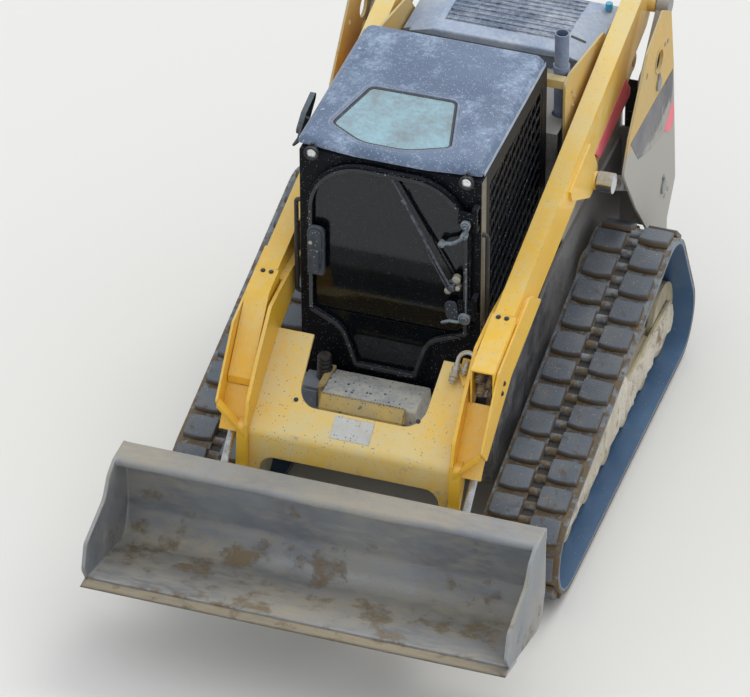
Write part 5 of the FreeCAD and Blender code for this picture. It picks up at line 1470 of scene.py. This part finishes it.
def makeHeap():
    # Wet mud packed on the frame between its side and the belt
    shape = bmesh.new()
    grid = []
    ends = (-0.325, 1.08)
    for i in range(47):
        y = ends[0] + (ends[1] - ends[0]) * i / 46
        line = []
        for j in range(9):
            x = 0.715 + 0.150 * j / 8
            swell = math.sin(math.pi * min(1.0, max(0.0, (i + 1) / 47))) ** 0.5
            lump = noise.fractal(Vector((x * 16.0, y * 11.0, 2.0)), 0.9, 2.0, 4)
            z = topAt(y) - 0.045 + mudLook["heap"] * swell * (0.35 + 0.65 * lump) - 0.03 * (1 - j / 8)
            line.append((x, y, min(z, topAt(y) + 0.015)))
        grid.append(line)
    top = [[shape.verts.new(at(*p)) for p in line] for line in grid]
    low = [[shape.verts.new(at(x, y, z - 0.07)) for x, y, z in line] for line in grid]
    for i in range(46):
        for j in range(8):
            shape.faces.new([top[i][j], top[i][j + 1], top[i + 1][j + 1], top[i + 1][j]])
            shape.faces.new([low[i][j], low[i + 1][j], low[i + 1][j + 1], low[i][j + 1]])
        shape.faces.new([top[i][0], top[i + 1][0], low[i + 1][0], low[i][0]])
        shape.faces.new([top[i][8], low[i][8], low[i + 1][8], top[i + 1][8]])
    for i in (0, 46):
        for j in range(8):
            shape.faces.new([top[i][j], low[i][j], low[i][j + 1], top[i][j + 1]])
    return shape


def makeMud():
    for maker, name, finish in ((makeCrust, "clay_crust", "clay"), (makeHeap, "mud_heap", "wetMud")):
        shape = maker()
        bmesh.ops.recalc_face_normals(shape, faces=shape.faces)
        mesh = bpy.data.meshes.new(name)
        shape.to_mesh(mesh)
        shape.free()
        other = mirroredMesh(mesh, name + "_mirrored")
        placePiece(name + "_left", mesh, finish, "machine", angle=60.0)
        placePiece(name + "_right", other, finish, "machine", angle=60.0)
    print("track frames: clay and mud")


# Seat

seatLook = {
    "cushion": ((-0.235, 0.320, 1.080), (0.235, 0.780, 1.190)), "backLow": (0.680, 0.765, 1.160),
    "backHigh": (0.790, 0.870, 1.750), "backHalf": 0.215, "voxel": 0.006, "cap": 0.018, "frames": 20,
}


def padMesh(corners, name):
    # A pad from eight corners, subdivided and rounded before it swells
    shape = bmesh.new()
    v = [shape.verts.new(c) for c in corners]
    for ring in ((0, 1, 2, 3), (7, 6, 5, 4), (0, 4, 5, 1), (1, 5, 6, 2), (2, 6, 7, 3), (3, 7, 4, 0)):
        shape.faces.new([v[i] for i in ring])
    bmesh.ops.recalc_face_normals(shape, faces=shape.faces)
    bmesh.ops.bevel(shape, geom=shape.edges[:], offset=0.028, segments=3, affect="EDGES", profile=0.6)
    mesh = bpy.data.meshes.new(name)
    shape.to_mesh(mesh)
    shape.free()
    return mesh


def swellPad(piece):
    # Cloth with air in it, its movement capped, then kept as the mesh
    scene = bpy.context.scene
    remesh = piece.modifiers.new("even", "REMESH")
    remesh.mode, remesh.voxel_size = "VOXEL", 0.012
    keep = bpy.data.meshes.new_from_object(piece.evaluated_get(bpy.context.evaluated_depsgraph_get()))
    piece.modifiers.clear()
    piece.data = keep
    rest = [v.co.copy() for v in keep.vertices]
    cloth = piece.modifiers.new("air", "CLOTH")
    cloth.settings.use_pressure = True
    cloth.settings.uniform_pressure_force = 4.0
    cloth.settings.effector_weights.gravity = 0.0
    cloth.point_cache.frame_start, cloth.point_cache.frame_end = 1, seatLook["frames"]
    for number in range(1, seatLook["frames"] + 1):
        scene.frame_set(number)
    swollen = bpy.data.meshes.new_from_object(piece.evaluated_get(bpy.context.evaluated_depsgraph_get()))
    piece.modifiers.clear()
    for vertex, start in zip(swollen.vertices, rest):
        move = vertex.co - start
        if move.length > seatLook["cap"]:
            vertex.co = start + move.normalized() * seatLook["cap"]
    piece.data = swollen
    scene.frame_set(1)


def makeSeat():
    (x0, y0, z0), (x1, y1, z1) = seatLook["cushion"]
    inset = 0.012
    bottom = [at(x0 + inset, y0 + inset, z0), at(x1 - inset, y0 + inset, z0), at(x1 - inset, y1 - inset, z0),
              at(x0 + inset, y1 - inset, z0)]
    top = [p + Vector((0, 0, z1 - z0 - inset)) for p in bottom]
    pads = [("seat_cushion", bottom + top)]
    half = seatLook["backHalf"] - inset
    (lowFront, lowRear, lowZ), (highFront, highRear, highZ) = seatLook["backLow"], seatLook["backHigh"]
    front = [at(-half, lowFront + inset, lowZ + 0.04), at(half, lowFront + inset, lowZ + 0.04),
             at(half, highFront + inset, highZ - inset), at(-half, highFront + inset, highZ - inset)]
    rear = [at(-half, lowRear, lowZ + 0.04), at(half, lowRear, lowZ + 0.04),
            at(half, highRear - inset, highZ - inset), at(-half, highRear - inset, highZ - inset)]
    pads.append(("seat_back", front + rear))
    for name, corners in pads:
        piece = placePiece(name, padMesh(corners, name), "fabric", "machine")
        swellPad(piece)
        piece.data.materials.clear()
        piece.data.materials.append(finishes["fabric"])
        piece.data.shade_smooth()
        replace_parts(piece, "seat")
    base = bmesh.new()
    addBox(base, at(-0.17, 0.36, 0.816), at(0.17, 0.74, 1.078))
    pedestal = finishPiece("seat_base", base, "plastic", "machine", bevel=0.02)
    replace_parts(pedestal, "seat")
    print("seat: cushion, back and pedestal")


makeCamera()
makeStage()
dressFrame()
makeTreads()
makeCabTrim()
makeArmTrim()
makeStep()
makeHoodTrim()
makeMud()
makeSeat()
